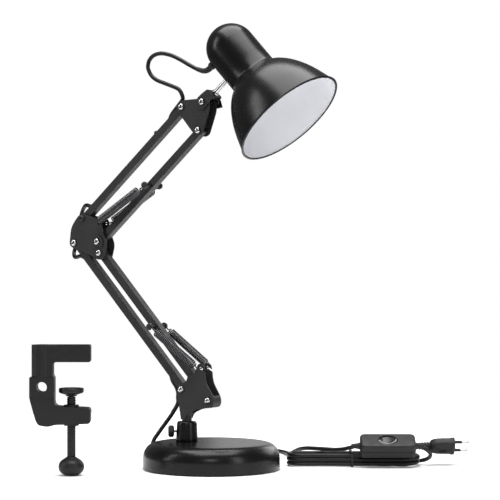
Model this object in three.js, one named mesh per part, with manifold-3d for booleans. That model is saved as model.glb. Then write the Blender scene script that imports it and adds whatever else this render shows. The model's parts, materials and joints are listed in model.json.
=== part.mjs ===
// Swing arm desk lamp: round weighted base, two parallelogram arms with four
// counterbalance springs, a bell shade on a tilting and twisting stem, its mains
// lead with switch and plug, and the screw clamp that can replace the base.
// Millimetres, +Z up. Origin: centre of the base's underside. The arm moves in
// the XZ plane and the head points towards +X. Hinge axes run along Y.
import * as THREE from 'three';
import { mergeVertices } from 'three/addons/utils/BufferGeometryUtils.js';
import Module from 'manifold-3d';

const wasm = await Module();
wasm.setup();

// ---------- driving dimensions ----------
const BASE_R = 89;
const BASE_H = 34.6;
const BASE_FLAT_R = 72;
const BASE_WALL_H = 15;
const POST_X = -37;
const POST_R = 6.35;
const SOCKET_H = 26;
const BAR_W = 10;
const BAR_D = 12;
const BAR_WALL = 1;
const BRACKET_D = 20;
const SHEET = 1.5;
const PIN_R = 2.5;
const PIN_HOLE_R = 2.85;
const HEAD_R = 4.2;
const CORD_R = 2.7;
const SPRING_R = 5.6;
const WIRE_R = 0.9;
const CROSSBAR_L = 42;
const SPRING_Y = 18;
const NECK_R = 32.5;
const RIM_R = 75.5;
const HEAD_L = 126.5;
const SHADE_WALL = 1.0;
const STEM_R = 3.2;

// pivots of the four-bar arms, as [x, z]
const P1 = [-40, 103];
const P2 = [0, 89.5];
const P3 = [-209, 295];
const P4 = [-169, 281.5];
const P5 = [-171, 296.5];
const P6 = [-196, 328];
const P7 = [-40, 472];
const P8 = [-15, 440.5];
const P9 = [-7.8, 476.9];
const LOWER_HOOK = [-11, 131];
const UPPER_HOOK = [-169, 321];
const LOWER_CROSS_T = 126;
const UPPER_CROSS_T = 109;

// head frame: its origin is the centre of the cap, its -Z points out of the shade
const CAP = [29.7, 545.2];
const HEAD_TURN = -0.737;
const STEM_DOWN = 25.4;
const GLAND_UP = 3.8;

// the lead, the hank and the clamp lie along a line turned from the arm plane
const SIDE_TURN = Math.PI / 6;
const ROCKER_TILT = 0.06;
const CLAMP_SIDE = -213.2;
const CLAMP_BACK = -70;

// ---------- materials ----------
function material(color, roughness, metalness) {
  return new THREE.MeshStandardMaterial({ color, roughness, metalness });
}
const GLOSS_BLACK = material(0x111112, 0.3, 0.1);
const SATIN_BLACK = material(0x3a3a3b, 0.5, 0.3);
const BAR_BLACK = material(0x2e2e2f, 0.5, 0.3);
const MATTE_BLACK = material(0x161616, 0.7, 0);
const CORD_BLACK = material(0x0d0d0d, 0.55, 0);
const CHROME = material(0xd8d8da, 0.15, 1);
const STEEL = material(0x8a8a8c, 0.35, 1);
const DARK_STEEL = material(0x3c3c3e, 0.35, 1);
const IRON = material(0x4a4a4a, 0.8, 0.6);
const BRASS = material(0xb8963e, 0.35, 1);
const FELT = material(0x1c1c1c, 0.95, 0);
const WHITE = material(0xf0f0ee, 0.4, 0);

// ---------- geometry helpers ----------
function toSolid(geometry) {
  let g = geometry.clone();
  g.deleteAttribute('normal');
  g.deleteAttribute('uv');
  g = mergeVertices(g, 1e-4);
  const vertProperties = new Float32Array(g.attributes.position.array);
  const triVerts = new Uint32Array(g.index.array);
  return new wasm.Manifold(new wasm.Mesh({ numProp: 3, vertProperties, triVerts }));
}

function toGeometry(solid) {
  const m = solid.getMesh();
  const g = new THREE.BufferGeometry();
  g.setAttribute('position', new THREE.BufferAttribute(new Float32Array(m.vertProperties), 3));
  g.setIndex(new THREE.BufferAttribute(new Uint32Array(m.triVerts), 1));
  g.computeVertexNormals();
  return g;
}

function joinAll(geometries) {
  let solid = toSolid(geometries[0]);
  for (const g of geometries.slice(1)) {
    solid = solid.add(toSolid(g));
  }
  return toGeometry(solid);
}

function cut(geometry, tools) {
  let solid = toSolid(geometry);
  for (const tool of tools) {
    solid = solid.subtract(toSolid(tool));
  }
  return toGeometry(solid);
}

// outline with rounded corners; each point is [x, y, radius]
function roundedShape(points) {
  const shape = new THREE.Shape();
  const n = points.length;
  for (let i = 0; i < n; i += 1) {
    const here = new THREE.Vector2(points[i][0], points[i][1]);
    const before = new THREE.Vector2(...points[(i + n - 1) % n].slice(0, 2));
    const after = new THREE.Vector2(...points[(i + 1) % n].slice(0, 2));
    const r = points[i][2] ?? 0;
    const a = before.clone().sub(here);
    const b = after.clone().sub(here);
    const reach = Math.min(r, a.length() * 0.48, b.length() * 0.48);
    const start = here.clone().add(a.setLength(reach || 1e-6));
    const end = here.clone().add(b.setLength(reach || 1e-6));
    if (reach === 0) {
      if (i === 0) shape.moveTo(here.x, here.y);
      else shape.lineTo(here.x, here.y);
    } else {
      if (i === 0) shape.moveTo(start.x, start.y);
      else shape.lineTo(start.x, start.y);
      shape.quadraticCurveTo(here.x, here.y, end.x, end.y);
    }
  }
  shape.closePath();
  return shape;
}

// slab whose outline lies in XZ and which runs along Y from y0 to y1
function slab(shape, y0, y1, segments = 2) {
  const options = { depth: y1 - y0, bevelEnabled: false, curveSegments: segments };
  const g = new THREE.ExtrudeGeometry(shape, options);
  g.rotateX(Math.PI / 2);
  g.translate(0, y1, 0);
  return g;
}

function boxAt(x0, x1, y0, y1, z0, z1) {
  const g = new THREE.BoxGeometry(x1 - x0, y1 - y0, z1 - z0);
  g.translate((x0 + x1) / 2, (y0 + y1) / 2, (z0 + z1) / 2);
  return g;
}

function rodY(r, y0, y1, x, z, segments = 12) {
  const g = new THREE.CylinderGeometry(r, r, y1 - y0, segments);
  g.translate(x, (y0 + y1) / 2, z);
  return g;
}

function rodZ(r, z0, z1, x, y, segments = 20) {
  const g = new THREE.CylinderGeometry(r, r, z1 - z0, segments);
  g.rotateX(Math.PI / 2);
  g.translate(x, y, (z0 + z1) / 2);
  return g;
}

// profile of [radius, y] turned about Y, run so that its faces point out
function latheY(profile, segments = 14) {
  const points = profile.map(([r, y]) => new THREE.Vector2(r, y));
  if (THREE.ShapeUtils.area(points) < 0) {
    points.reverse();
  }
  return new THREE.LatheGeometry(points, segments);
}

// profile of [radius, z] turned about Z
function latheZ(profile, segments = 32) {
  const g = latheY(profile, segments);
  g.rotateX(Math.PI / 2);
  return g;
}

function tube(points, r, steps, sides = 4) {
  const curve = new THREE.CatmullRomCurve3(points.map((p) => new THREE.Vector3(...p)), false, 'centripetal');
  const circle = new THREE.Shape();
  circle.absarc(0, 0, r, 0, Math.PI * 2, false);
  const options = { steps, bevelEnabled: false, extrudePath: curve, curveSegments: sides };
  return new THREE.ExtrudeGeometry(circle, options);
}

const lamp = new THREE.Group();

function add(name, geometry, mat, parent = lamp) {
  const mesh = new THREE.Mesh(geometry, mat);
  mesh.name = name;
  parent.add(mesh);
  return mesh;
}

// a point beside a bar: t along it from a, off outward from its centre line
function beside(a, b, t, off, y = 0) {
  const dx = b[0] - a[0];
  const dz = b[1] - a[1];
  const l = Math.hypot(dx, dz);
  return [a[0] + (dx * t - dz * off) / l, y, a[1] + (dz * t + dx * off) / l];
}

// ---------- base ----------
const coverProfile = [[BASE_R, 0.9], [BASE_R, BASE_WALL_H]];
const coverInner = [[BASE_R - 1.2, BASE_WALL_H]];
for (let i = 1; i <= 5; i += 1) {
  const a = (Math.PI / 2) * (i / 5);
  const rise = BASE_H - BASE_WALL_H;
  const run = BASE_R - BASE_FLAT_R;
  coverProfile.push([BASE_FLAT_R + run * Math.cos(a), BASE_WALL_H + rise * Math.sin(a)]);
  coverInner.push([BASE_FLAT_R + (run - 1.2) * Math.cos(a), BASE_WALL_H + (rise - 1.2) * Math.sin(a)]);
}
coverProfile.push([0, BASE_H]);
coverProfile.push([0, BASE_H - 1.2]);
coverProfile.push(...coverInner.reverse());
coverProfile.push([BASE_R - 1.2, 0.9]);
coverProfile.push([BASE_R, 0.9]);
const cover = cut(latheZ(coverProfile, 36), [rodZ(3.3, 30, 36, POST_X, 0, 16)]);
add('base_cover', cover, GLOSS_BLACK);

const weightDisc = latheZ([[0, 3], [86, 3], [86.6, 4], [86.6, 14], [70, 31], [0, 31]], 28);
const weightBores = [rodZ(3.4, 2, 32, POST_X, 0, 16), rodZ(8, 2, 10, POST_X, 0, 16)];
add('base_weight', cut(weightDisc, weightBores), IRON);

add('base_pad', latheZ([[0, 0], [86.2, 0], [86.8, 0.6], [86.8, 2.5], [0, 2.5]], 36), FELT);

const boltHead = new THREE.CylinderGeometry(6, 6, 4, 6);
boltHead.rotateX(Math.PI / 2);
boltHead.translate(POST_X, 0, 7.9);
add('base_bolt', joinAll([boltHead, rodZ(3, 9, 39.5, POST_X, 0, 12)]), STEEL);

const socketTop = BASE_H + SOCKET_H;
const socketProfile = [[3.3, BASE_H + 0.3], [14.2, BASE_H + 0.3], [14.5, BASE_H + 0.8],
  [12.9, socketTop - 2], [11.4, socketTop], [6.8, socketTop], [6.8, 41], [3.3, 41], [3.3, BASE_H + 0.3]];
const socket = latheZ(socketProfile, 16);
const screwBore = new THREE.CylinderGeometry(2.1, 2.1, 12, 12);
screwBore.rotateZ(Math.PI / 2);
screwBore.translate(-11, 0, 47.5);
screwBore.rotateZ(SIDE_TURN);
const socketAt = cut(socket, [screwBore]);
socketAt.translate(POST_X, 0, 0);
add('base_socket', socketAt, GLOSS_BLACK);

// thumb screw that locks the post: a knob moulded on its threaded stud
const thumb = new THREE.Group();
thumb.position.set(POST_X, 0, 47.5);
thumb.rotation.z = SIDE_TURN;
lamp.add(thumb);
const thumbScrew = latheY([[0, 6.9], [1.6, 6.9], [1.6, 16.6], [5.4, 16.6], [7.4, 17.6], [7.8, 19.1],
  [7.8, 22.1], [7.4, 23.6], [5.4, 24.6], [0, 24.6]], 16);
thumbScrew.rotateZ(Math.PI / 2);
add('thumb_screw', thumbScrew, MATTE_BLACK, thumb);

// ---------- post and lower bracket ----------
const postBlock = boxAt(POST_X - 6, POST_X + 6, -8.2, 8.2, 68, 90);
add('post', joinAll([rodZ(POST_R, 41.3, 80, POST_X, 0, 20), postBlock]), BAR_BLACK);

const plateOut = BRACKET_D / 2;
const plateIn = plateOut - SHEET;

// a bent sheet bracket: two plates joined by the web that the hollow leaves
function bracket(name, outline, hollow, holes, hooks, mat) {
  const tools = [slab(roundedShape(hollow), -plateIn, plateIn)];
  for (const [x, z] of holes) {
    tools.push(rodY(PIN_HOLE_R, -plateOut - 2, plateOut + 2, x, z, 10));
  }
  for (const [x, z] of hooks) {
    tools.push(rodY(1.9, -plateOut - 2, plateOut + 2, x, z, 8));
  }
  const body = cut(slab(roundedShape(outline), -plateOut, plateOut), tools);
  return add(name, body, mat);
}

bracket('lower_bracket', [
  [-47.5, 98, 6], [-43.2, 82, 5], [-40.5, 63.5, 1], [-34.5, 63.5, 1], [-31, 71, 6], [-20, 76.5, 4],
  [-4, 79.5, 6], [8.5, 80.5, 8], [9.5, 92, 7], [-1.5, 111, 2], [-3.5, 119, 3], [-4, 128, 4],
  [-6.5, 136.5, 5], [-14, 137.5, 5], [-17.5, 130, 4], [-21, 123, 3], [-29.5, 121.5, 2],
  [-33, 112, 4], [-42, 111, 6],
], [
  [-60, 60], [-10, 60], [-10, 70], [-4, 82.5], [1, 83], [6.6, 84], [7.6, 91], [5.6, 95.5], [14, 97],
  [14, 150], [-60, 150],
], [P1, P2], [LOWER_HOOK], SATIN_BLACK);

// ---------- bars ----------
// slots are [from, to] along the bar, cut in its outer wall for the cord
function bar(name, a, b, slots, bore) {
  const l = Math.hypot(b[0] - a[0], b[1] - a[1]);
  const h = BAR_W / 2;
  const d = BAR_D / 2;
  const shape = new THREE.Shape();
  shape.moveTo(0, -h);
  shape.lineTo(l, -h);
  shape.absarc(l, 0, h, -Math.PI / 2, Math.PI / 2, false);
  shape.lineTo(0, h);
  shape.absarc(0, 0, h, Math.PI / 2, Math.PI * 1.5, false);
  const tools = [boxAt(-h - 1, l + h + 1, -d + BAR_WALL, d - BAR_WALL, -h + BAR_WALL, h - BAR_WALL)];
  tools.push(rodY(PIN_HOLE_R, -d - 1, d + 1, 0, 0, 10));
  tools.push(rodY(PIN_HOLE_R, -d - 1, d + 1, l, 0, 10));
  for (const [from, to] of slots) {
    tools.push(boxAt(from, to, -3.2, 3.2, 0, h + 1));
  }
  if (bore) {
    tools.push(rodY(2.9, -d - 1, d + 1, bore, 0, 10));
  }
  const mesh = add(name, cut(slab(shape, -d, d, 5), tools), BAR_BLACK);
  mesh.position.set(a[0], 0, a[1]);
  mesh.rotation.y = -Math.atan2(b[1] - a[1], b[0] - a[0]);
  return l;
}

const LOWER_L = Math.hypot(P3[0] - P1[0], P3[1] - P1[1]);
const UPPER_L = Math.hypot(P7[0] - P6[0], P7[1] - P6[1]);
bar('lower_bar_rear', P1, P3, [[14, 42], [LOWER_L - 38, LOWER_L - 10]], 0);
bar('lower_bar_front', P2, P4, [], LOWER_CROSS_T);
bar('upper_bar_rear', P6, P7, [[10, 38], [UPPER_L - 44, UPPER_L - 12]], 0);
bar('upper_bar_front', P5, P8, [], UPPER_CROSS_T);

// ---------- crossbars that carry the spring ends ----------
function crossbar(name, a, b, t) {
  const end = CROSSBAR_L / 2;
  const groove = SPRING_Y;
  const half = [[0, -end], [3.7, -end], [4.3, -end + 0.6], [4.3, -groove - 1.4], [2.6, -groove - 1.1],
    [2.6, 0]];
  const mirrored = half.slice(0, 5).reverse().map(([r, y]) => [r, -y]);
  const g = latheY([...half, ...mirrored], 12);
  const p = beside(a, b, t, 0);
  g.translate(p[0], 0, p[2]);
  add(name, g, SATIN_BLACK);
  return [p[0], p[2]];
}
const LOWER_CROSS = crossbar('lower_crossbar', P2, P4, LOWER_CROSS_T);
const UPPER_CROSS = crossbar('upper_crossbar', P5, P8, UPPER_CROSS_T);

// ---------- springs ----------
// closed coil with an eye round the crossbar and a hook through the plate
function spring(name, hook, cross, side) {
  const from = new THREE.Vector3(hook[0], side * 16.2, hook[1]);
  const to = new THREE.Vector3(cross[0], side * SPRING_Y, cross[1]);
  const axis = to.clone().sub(from);
  const l = axis.length();
  axis.normalize();
  const coil = new THREE.CylinderGeometry(SPRING_R, SPRING_R, l - 26, 8);
  coil.translate(0, l / 2, 0);
  const turn = new THREE.Quaternion().setFromUnitVectors(new THREE.Vector3(0, 1, 0), axis);
  coil.applyQuaternion(turn);
  coil.translate(from.x, from.y, from.z);
  const tail = new THREE.CylinderGeometry(WIRE_R, WIRE_R, 12, 6);
  tail.translate(0, l - 9.8, 0);
  tail.applyQuaternion(turn);
  tail.translate(from.x, from.y, from.z);
  const eye = new THREE.TorusGeometry(4.2, WIRE_R, 5, 12);
  eye.rotateX(Math.PI / 2);
  eye.translate(to.x, to.y, to.z);
  const start = from.clone().addScaledVector(axis, 14);
  const bend = from.clone().addScaledVector(axis, 3);
  const hookPoints = [
    [start.x, start.y, start.z],
    [bend.x, bend.y, bend.z],
    [hook[0], side * 12.2, hook[1]],
    [hook[0], side * 7, hook[1]],
  ];
  add(name, joinAll([coil, tail, eye, tube(hookPoints, WIRE_R, 6, 3)]), DARK_STEEL);
}
spring('spring_lower_front', LOWER_HOOK, LOWER_CROSS, -1);
spring('spring_lower_back', LOWER_HOOK, LOWER_CROSS, 1);
spring('spring_upper_front', UPPER_HOOK, UPPER_CROSS, -1);
spring('spring_upper_back', UPPER_HOOK, UPPER_CROSS, 1);

// ---------- elbow and top brackets ----------
bracket('elbow_bracket', [
  [-216.5, 291, 6], [-204, 285.5, 6], [-183, 279, 5], [-171, 272, 6], [-160.5, 272.5, 6],
  [-155.5, 292, 6], [-163.5, 313, 4], [-165, 326, 4], [-186, 331.5, 4], [-197, 335.5, 6],
  [-205, 328, 5], [-213.5, 316, 7],
], [
  [-222, 262], [-140, 262], [-140, 350], [-202, 350], [-202, 332], [-206, 323], [-211.6, 314],
  [-214.8, 299], [-214.8, 286], [-222, 280],
], [P3, P4, P5, P6], [UPPER_HOOK], SATIN_BLACK);

const tab = slab(roundedShape([
  [-176, 289.8, 1], [-163, 288.8, 2], [-161, 297, 3], [-166, 304.5, 3], [-173, 306.5, 2], [-175.5, 297, 2],
]), -11.5, -10.3);
add('elbow_tab', cut(tab, [rodY(PIN_HOLE_R, -13, -9, P5[0], P5[1], 14)]), SATIN_BLACK);

bracket('top_bracket', [
  [-47, 468, 6], [-38, 457, 4], [-22.5, 438, 6], [-17, 432.5, 5], [-8.5, 434.5, 5], [-4, 447, 6],
  [2.5, 466, 5], [2.5, 481.5, 5], [-13, 481.5, 1], [-38, 480.5, 3], [-46, 477, 5],
], [
  [-60, 440], [-36, 440], [-30, 420], [10, 420], [10, 472], [4, 478], [-13, 480], [-33, 479],
  [-33, 490], [-60, 490],
], [P7, P8, P9], [], SATIN_BLACK);

// ---------- pivot screws, each with its dome nut ----------
function pivotScrew(name, at, head) {
  const y0 = -head;
  const y1 = plateOut + 0.3;
  const g = latheY([
    [0, y0 - 3.2], [2.6, y0 - 2.9], [HEAD_R, y0 - 1], [HEAD_R, y0], [PIN_R, y0], [PIN_R, y1], [4, y1],
    [4, y1 + 2.4], [2.4, y1 + 3.8], [0, y1 + 4],
  ], 10);
  g.translate(at[0], 0, at[1]);
  add(name, g, CHROME);
}
const PLAIN_HEAD = plateOut + 0.3;
pivotScrew('pin_lower_rear', P1, PLAIN_HEAD);
pivotScrew('pin_lower_front', P2, PLAIN_HEAD);
pivotScrew('pin_elbow_rear', P3, PLAIN_HEAD);
pivotScrew('pin_elbow_lower', P4, PLAIN_HEAD);
pivotScrew('pin_elbow_front', P5, 11.8);
pivotScrew('pin_elbow_upper', P6, PLAIN_HEAD);
pivotScrew('pin_top_rear', P7, PLAIN_HEAD);
pivotScrew('pin_top_front', P8, PLAIN_HEAD);

// ---------- head clamp ----------
// its own frame: X runs along the stem from the tilt pivot
const clampGroup = new THREE.Group();
clampGroup.position.set(P9[0], 0, P9[1]);
clampGroup.rotation.y = HEAD_TURN;
lamp.add(clampGroup);
const clampOut = 11.9;
const clampIn = 10.4;
const strap = slab(roundedShape([
  [-9.5, -5, 5], [-4, -9.5, 4], [9, -7, 3], [17, -6.5, 1.5], [17, 6.5, 1.5], [9, 8, 4], [-5, 9, 6],
]), -clampOut, clampOut);
const strapTools = [
  boxAt(-20, 15.4, -clampIn, clampIn, -20, 20),
  rodY(PIN_HOLE_R, -14, 14, 0, 0, 14),
];
const stemBore = new THREE.CylinderGeometry(STEM_R + 0.3, STEM_R + 0.3, 8, 16);
stemBore.rotateZ(Math.PI / 2);
stemBore.translate(16, 0, 0);
add('head_clamp', cut(strap, [...strapTools, stemBore]), SATIN_BLACK, clampGroup);
const tiltScrew = latheY([
  [0, -15.6], [2.6, -15.2], [4.1, -13.9], [4.5, -12.2], [PIN_R, -12.2], [PIN_R, 13.8], [4.4, 13.8],
  [4.4, 16.6], [2.6, 17.8], [0, 18.2],
], 14);
add('tilt_screw', tiltScrew, CHROME, clampGroup);
const clip = slab(roundedShape([
  [-5, -5, 3], [2, -12, 2], [9, -16.5, 1], [12.5, -9, 3], [14, 5.5, 2], [5, 6, 3], [-5, 5, 3],
]), 12.2, 13.5);
add('tilt_clip', cut(clip, [rodY(PIN_HOLE_R, 11, 15, 0, 0, 14)]), CHROME, clampGroup);

// ---------- head ----------
const head = new THREE.Group();
head.position.set(CAP[0], 0, CAP[1]);
head.rotation.y = HEAD_TURN;
lamp.add(head);
const bell = [[NECK_R, -49], [34.4, -52.5], [43, -60], [51.6, -70.5], [58.8, -82.6], [65, -96.3],
  [70, -111.6], [73.8, -125]];
const outer = [];
for (let i = 0; i <= 5; i += 1) {
  const a = (Math.PI / 2) * (i / 5);
  outer.push([NECK_R * Math.sin(a), NECK_R * Math.cos(a)]);
}
const skin = [...outer, ...bell];
const rim = [[RIM_R, -125.6], [RIM_R, -HEAD_L - 0.4], [73.6, -HEAD_L - 0.8], [72.4, -HEAD_L]];
const inner = skin.slice(1).map(([r, z]) => [r - SHADE_WALL, z > 0 ? z * (1 - SHADE_WALL / NECK_R) : z]);
const shadeProfile = [...skin, ...rim, ...inner.reverse(), [0, NECK_R - SHADE_WALL]];
function crossRod(r, x0, x1, z, segments = 16) {
  const g = new THREE.CylinderGeometry(r, r, x1 - x0, segments);
  g.rotateZ(Math.PI / 2);
  g.translate((x0 + x1) / 2, 0, z);
  return g;
}
const shadeHoles = [crossRod(STEM_R + 0.3, -40, -25, -STEM_DOWN), crossRod(3.6, -40, -25, GLAND_UP)];
add('shade', cut(latheZ(shadeProfile, 28), shadeHoles), GLOSS_BLACK, head);

const stemEnd = -73.7 + 16;
const stemParts = [
  crossRod(STEM_R, -73.7 + 12.5, -23.4, -STEM_DOWN),
  crossRod(4.8, -73.7 + 17.4, -73.7 + 19.6, -STEM_DOWN),
  crossRod(4.8, -73.7 + 12.5, stemEnd - 0.9, -STEM_DOWN),
  crossRod(6, -30.6, -26.6, -STEM_DOWN, 6),
];
add('stem', joinAll(stemParts), CHROME, head);
const gland = joinAll([crossRod(3.3, -38.6, -28.4, GLAND_UP), crossRod(5.2, -37.6, -32.9, GLAND_UP),
  crossRod(4.6, -29.7, -28, GLAND_UP)]);
add('cord_gland', cut(gland, [crossRod(CORD_R + 0.25, -45, -20, GLAND_UP, 10)]), MATTE_BLACK, head);

// E27 lampholder, pressed into the neck by its flange
const holder = [[0, -2], [31.1, -2], [31.1, -5], [20, -5], [20, -20], [18.5, -42], [15.6, -42],
  [15.6, -12], [0, -12]];
const holderSolid = cut(latheZ(holder, 20), [boxAt(-32, -15, -4, 4, -6, 0)]);
add('lampholder', holderSolid, WHITE, head);
const shell = [[13.8, -13.2], [14.9, -18], [14.1, -25], [14.9, -32], [14.5, -39], [14.0, -39],
  [14.4, -32], [13.6, -25], [14.4, -18], [13.3, -13.2], [13.8, -13.2]];
add('screw_shell', latheZ(shell, 18), BRASS, head);
add('centre_contact', latheZ([[0, -12.3], [5, -12.3], [5, -13.4], [2.4, -16], [0, -16.4]], 14), BRASS, head);

// ---------- cord inside the arm and round its joints ----------
const headLoopA = [[-43.6, 0, 486.5], [-45.6, 0, 491], [-49.5, 0, 496], [-56.8, 0, 499.5],
  [-70.7, 0, 504.8], [-84.6, 0, 510.5], [-92.4, 0, 517], [-97, 0, 525.8]];
add('cord_head_outer', tube(headLoopA, CORD_R, 10), CORD_BLACK);

// a point on the gland's axis, out from the middle of the neck
function onGland(out) {
  const c = Math.cos(HEAD_TURN);
  const s = Math.sin(HEAD_TURN);
  return [CAP[0] - out * c + GLAND_UP * s, 0, CAP[1] + out * s + GLAND_UP * c];
}
const headLoopB = [[-97.2, 0, 527.8], [-95.6, 0, 535.5], [-89.3, 0, 542], [-78.4, 0, 544.7],
  [-63, 0, 541.9], [-47.6, 0, 535.1], [-33, 0, 527], [-21.5, 0, 521.2], [-12.5, 0, 518.4],
  [-7.2, 0, 518.6], onGland(41), onGland(36), onGland(29.2)];
add('cord_head_inner', tube(headLoopB, CORD_R, 15), CORD_BLACK);

const upperCord = [
  beside(P6, P7, 30, 1.0), beside(P6, P7, 45, 0), beside(P6, P7, 90, 0), beside(P6, P7, 130, 0),
  beside(P6, P7, UPPER_L - 42, 0.2), beside(P6, P7, UPPER_L - 32, 2.6),
  beside(P6, P7, UPPER_L - 21, 7.2), beside(P6, P7, UPPER_L - 8, 8.6), [-43.2, 0, 483.2], [-43.5, 0, 485.6],
];
add('cord_upper_arm', tube(upperCord, CORD_R, 18), CORD_BLACK);

const elbowUpper = [beside(P6, P7, 28.4, 1.6), beside(P6, P7, 22, 3.8), beside(P6, P7, 16.5, 6.8, 0.6),
  [-194.2, 2.8, 345.6], [-201, 7, 345.8], [-208.4, 12.4, 341.6], [-214, 15.5, 333], [-217.5, 16.2, 322], [-219, 16.3, 313.5]];
add('cord_elbow_upper', tube(elbowUpper, CORD_R, 10), CORD_BLACK);
const elbowLower = [[-219.2, 16.3, 312.4], [-221, 16.2, 300], [-223.6, 15, 289], [-224, 12.5, 281],
  [-218.4, 7.2, 275.6], beside(P1, P3, LOWER_L - 15.5, 9, 2.4), beside(P1, P3, LOWER_L - 20.5, 6, 0),
  beside(P1, P3, LOWER_L - 26, 2.4), beside(P1, P3, LOWER_L - 31, 1)];
add('cord_elbow_lower', tube(elbowLower, CORD_R, 10), CORD_BLACK);

const lowerCord = [
  beside(P1, P3, LOWER_L - 32.6, 0.8), beside(P1, P3, LOWER_L - 48, 0), beside(P1, P3, 180, 0),
  beside(P1, P3, 120, 0), beside(P1, P3, 70, 0), beside(P1, P3, 42, 0.2), beside(P1, P3, 31, 3),
  beside(P1, P3, 20, 7.6), beside(P1, P3, 9, 9), [-50.4, 0, 96.5], [-50.8, 0, 92],
];
add('cord_lower_arm', tube(lowerCord, CORD_R, 18), CORD_BLACK);

// ---------- mains lead ----------
// side runs along the lead, back runs away from it, both in the floor plane
function onFloor(side, back, z) {
  const c = Math.cos(SIDE_TURN);
  const s = Math.sin(SIDE_TURN);
  return [side * c - back * s, side * s + back * c, z];
}
const HANK_LEFT = 99.3;
const HANK_RIGHT = 275.7;
const HANK_BACK = 40;
const HANK_HALF = 19;
const HANK_TOP = 18.2;
const SWITCH_Z = 28.2;

const mains = [
  [-50.8, 0, 91], [-51, 0.5, 84], onFloor(-49.5, 29, 73), onFloor(-54.5, 33, 65), onFloor(-61.5, 39, 55),
  onFloor(-69.5, 45, 43.5), onFloor(-76.5, 50.5, 32.5), onFloor(-79, 54, 22), onFloor(-78.5, 60, 12),
  onFloor(-74, 78, 5), onFloor(-62, 112, 3), onFloor(-32, 160, 3), onFloor(8, 198, 3),
  onFloor(48, 216, 3), onFloor(84, 212, 3), onFloor(105, 188, 3), onFloor(112, 152, 3),
  onFloor(113, 118, 3.4),
];
add('mains_lead', tube(mains, CORD_R, 38), CORD_BLACK);
const switchTail = [
  onFloor(113, 117.3, 3.4), onFloor(112.9, 110, 4.2), onFloor(112.6, 95, 9.5), onFloor(113.5, 79, 17),
  onFloor(118, 67, 21.4), onFloor(129, 58, 22), onFloor(145, 51.5, 22), onFloor(160, 43.5, 22.3),
  onFloor(173, 33.5, 23.6), onFloor(182, 25, 25.8), onFloor(189, 20, 27.5), onFloor(194, 18, SWITCH_Z),
];
add('switch_tail', tube(switchTail, CORD_R, 18), CORD_BLACK);
const plugTail = [
  onFloor(268.3, 18, SWITCH_Z), onFloor(275, 18.6, 27), onFloor(283, 22.5, 23), onFloor(288, 30, 18.5),
  onFloor(289, 38, 15), onFloor(287.5, 46, 12.6), onFloor(283.5, 50.6, 11.9), onFloor(276, 55.4, 11.6),
];
add('plug_tail', tube(plugTail, CORD_R, 9), CORD_BLACK);
const plugEnd = [onFloor(229, 41.5, 21.2), onFloor(250, 46, 23.4), onFloor(270.6, 48, 25)];
add('plug_end', tube(plugEnd, CORD_R, 3), CORD_BLACK);

// the group's X runs along the lead and its Y away from it
function floorGroup(side, back, z) {
  const group = new THREE.Group();
  const p = onFloor(side, back, z);
  group.position.set(p[0], p[1], p[2]);
  group.rotation.z = SIDE_TURN;
  lamp.add(group);
  return group;
}

// the tied hank: folds of the lead side by side and on top of each other
const hankGroup = floorGroup(0, HANK_BACK, 0);
const hankShape = new THREE.Shape();
hankShape.absarc(HANK_RIGHT - HANK_HALF, 0, HANK_HALF, -Math.PI / 2, Math.PI / 2, false);
hankShape.absarc(HANK_LEFT + HANK_HALF, 0, HANK_HALF, Math.PI / 2, Math.PI * 1.5, false);
const hankOptions = { depth: HANK_TOP - 1.2, bevelEnabled: false, curveSegments: 6 };
const hank = new THREE.ExtrudeGeometry(hankShape, hankOptions);
hank.translate(0, 0, 1.2);
add('hank', hank, CORD_BLACK, hankGroup);

const tieGroup = floorGroup(183.3, HANK_BACK, 0);
const tieOuter = roundedShape([[-20.7, 0, 1], [20.7, 0, 1], [20.7, 19.7, 1], [-20.7, 19.7, 1]]);
const tieInner = roundedShape([[-19.8, 0.8, 0.4], [19.8, 0.8, 0.4], [19.8, 18.8, 0.4], [-19.8, 18.8, 0.4]]);
tieOuter.holes.push(tieInner);
const tie = new THREE.ExtrudeGeometry(tieOuter, { depth: 3, bevelEnabled: false, curveSegments: 2 });
tie.rotateX(Math.PI / 2);
tie.rotateZ(Math.PI / 2);
add('hank_tie', tie, MATTE_BLACK, tieGroup);

// in-line rocker switch, leaning on the hank
const switchGroup = floorGroup(231, 18, SWITCH_Z);
const tilted = new THREE.Group();
tilted.rotation.x = Math.PI / 6;
switchGroup.add(tilted);
function rounded(lx, ly, z0, z1, r, round) {
  const s = roundedShape([[-lx, -ly, r], [lx, -ly, r], [lx, ly, r], [-lx, ly, r]]);
  const options = { depth: z1 - z0 - 2 * round, bevelEnabled: true, bevelSize: round, bevelThickness: round,
    bevelSegments: 1, bevelOffset: -round, curveSegments: 3 };
  const g = new THREE.ExtrudeGeometry(s, options);
  g.translate(0, 0, z0 + round);
  return g;
}
const wellShape = new THREE.Shape();
wellShape.absellipse(0, 0, 13, 9.8, 0, Math.PI * 2, false, 0);
function well(rx, ry, z0, z1) {
  const s = new THREE.Shape();
  s.absellipse(0, 0, rx, ry, 0, Math.PI * 2, false, 0);
  const g = new THREE.ExtrudeGeometry(s, { depth: z1 - z0, bevelEnabled: false, curveSegments: 7 });
  g.translate(0, 0, z0);
  return g;
}
const cordHole = crossRod(CORD_R + 0.3, -40, 40, 0, 10);
const cavityLow = boxAt(-28, 28, -12, 12, -8, 1);
const cavityTop = boxAt(-28, 28, -12, 12, -1, 7.6);
add('switch_base', cut(rounded(36.3, 15, -10, -0.15, 7, 2.5), [cavityLow, cordHole]), MATTE_BLACK, tilted);
const lid = cut(rounded(36.3, 15, 0.15, 10, 7, 2.5), [cavityTop, cordHole, well(13, 9.8, 5, 12)]);
add('switch_lid', lid, MATTE_BLACK, tilted);
const rockerTop = well(12.4, 9.2, 4, 12.4);
const rockerCut = new THREE.CylinderGeometry(40, 40, 30, 48);
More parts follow.
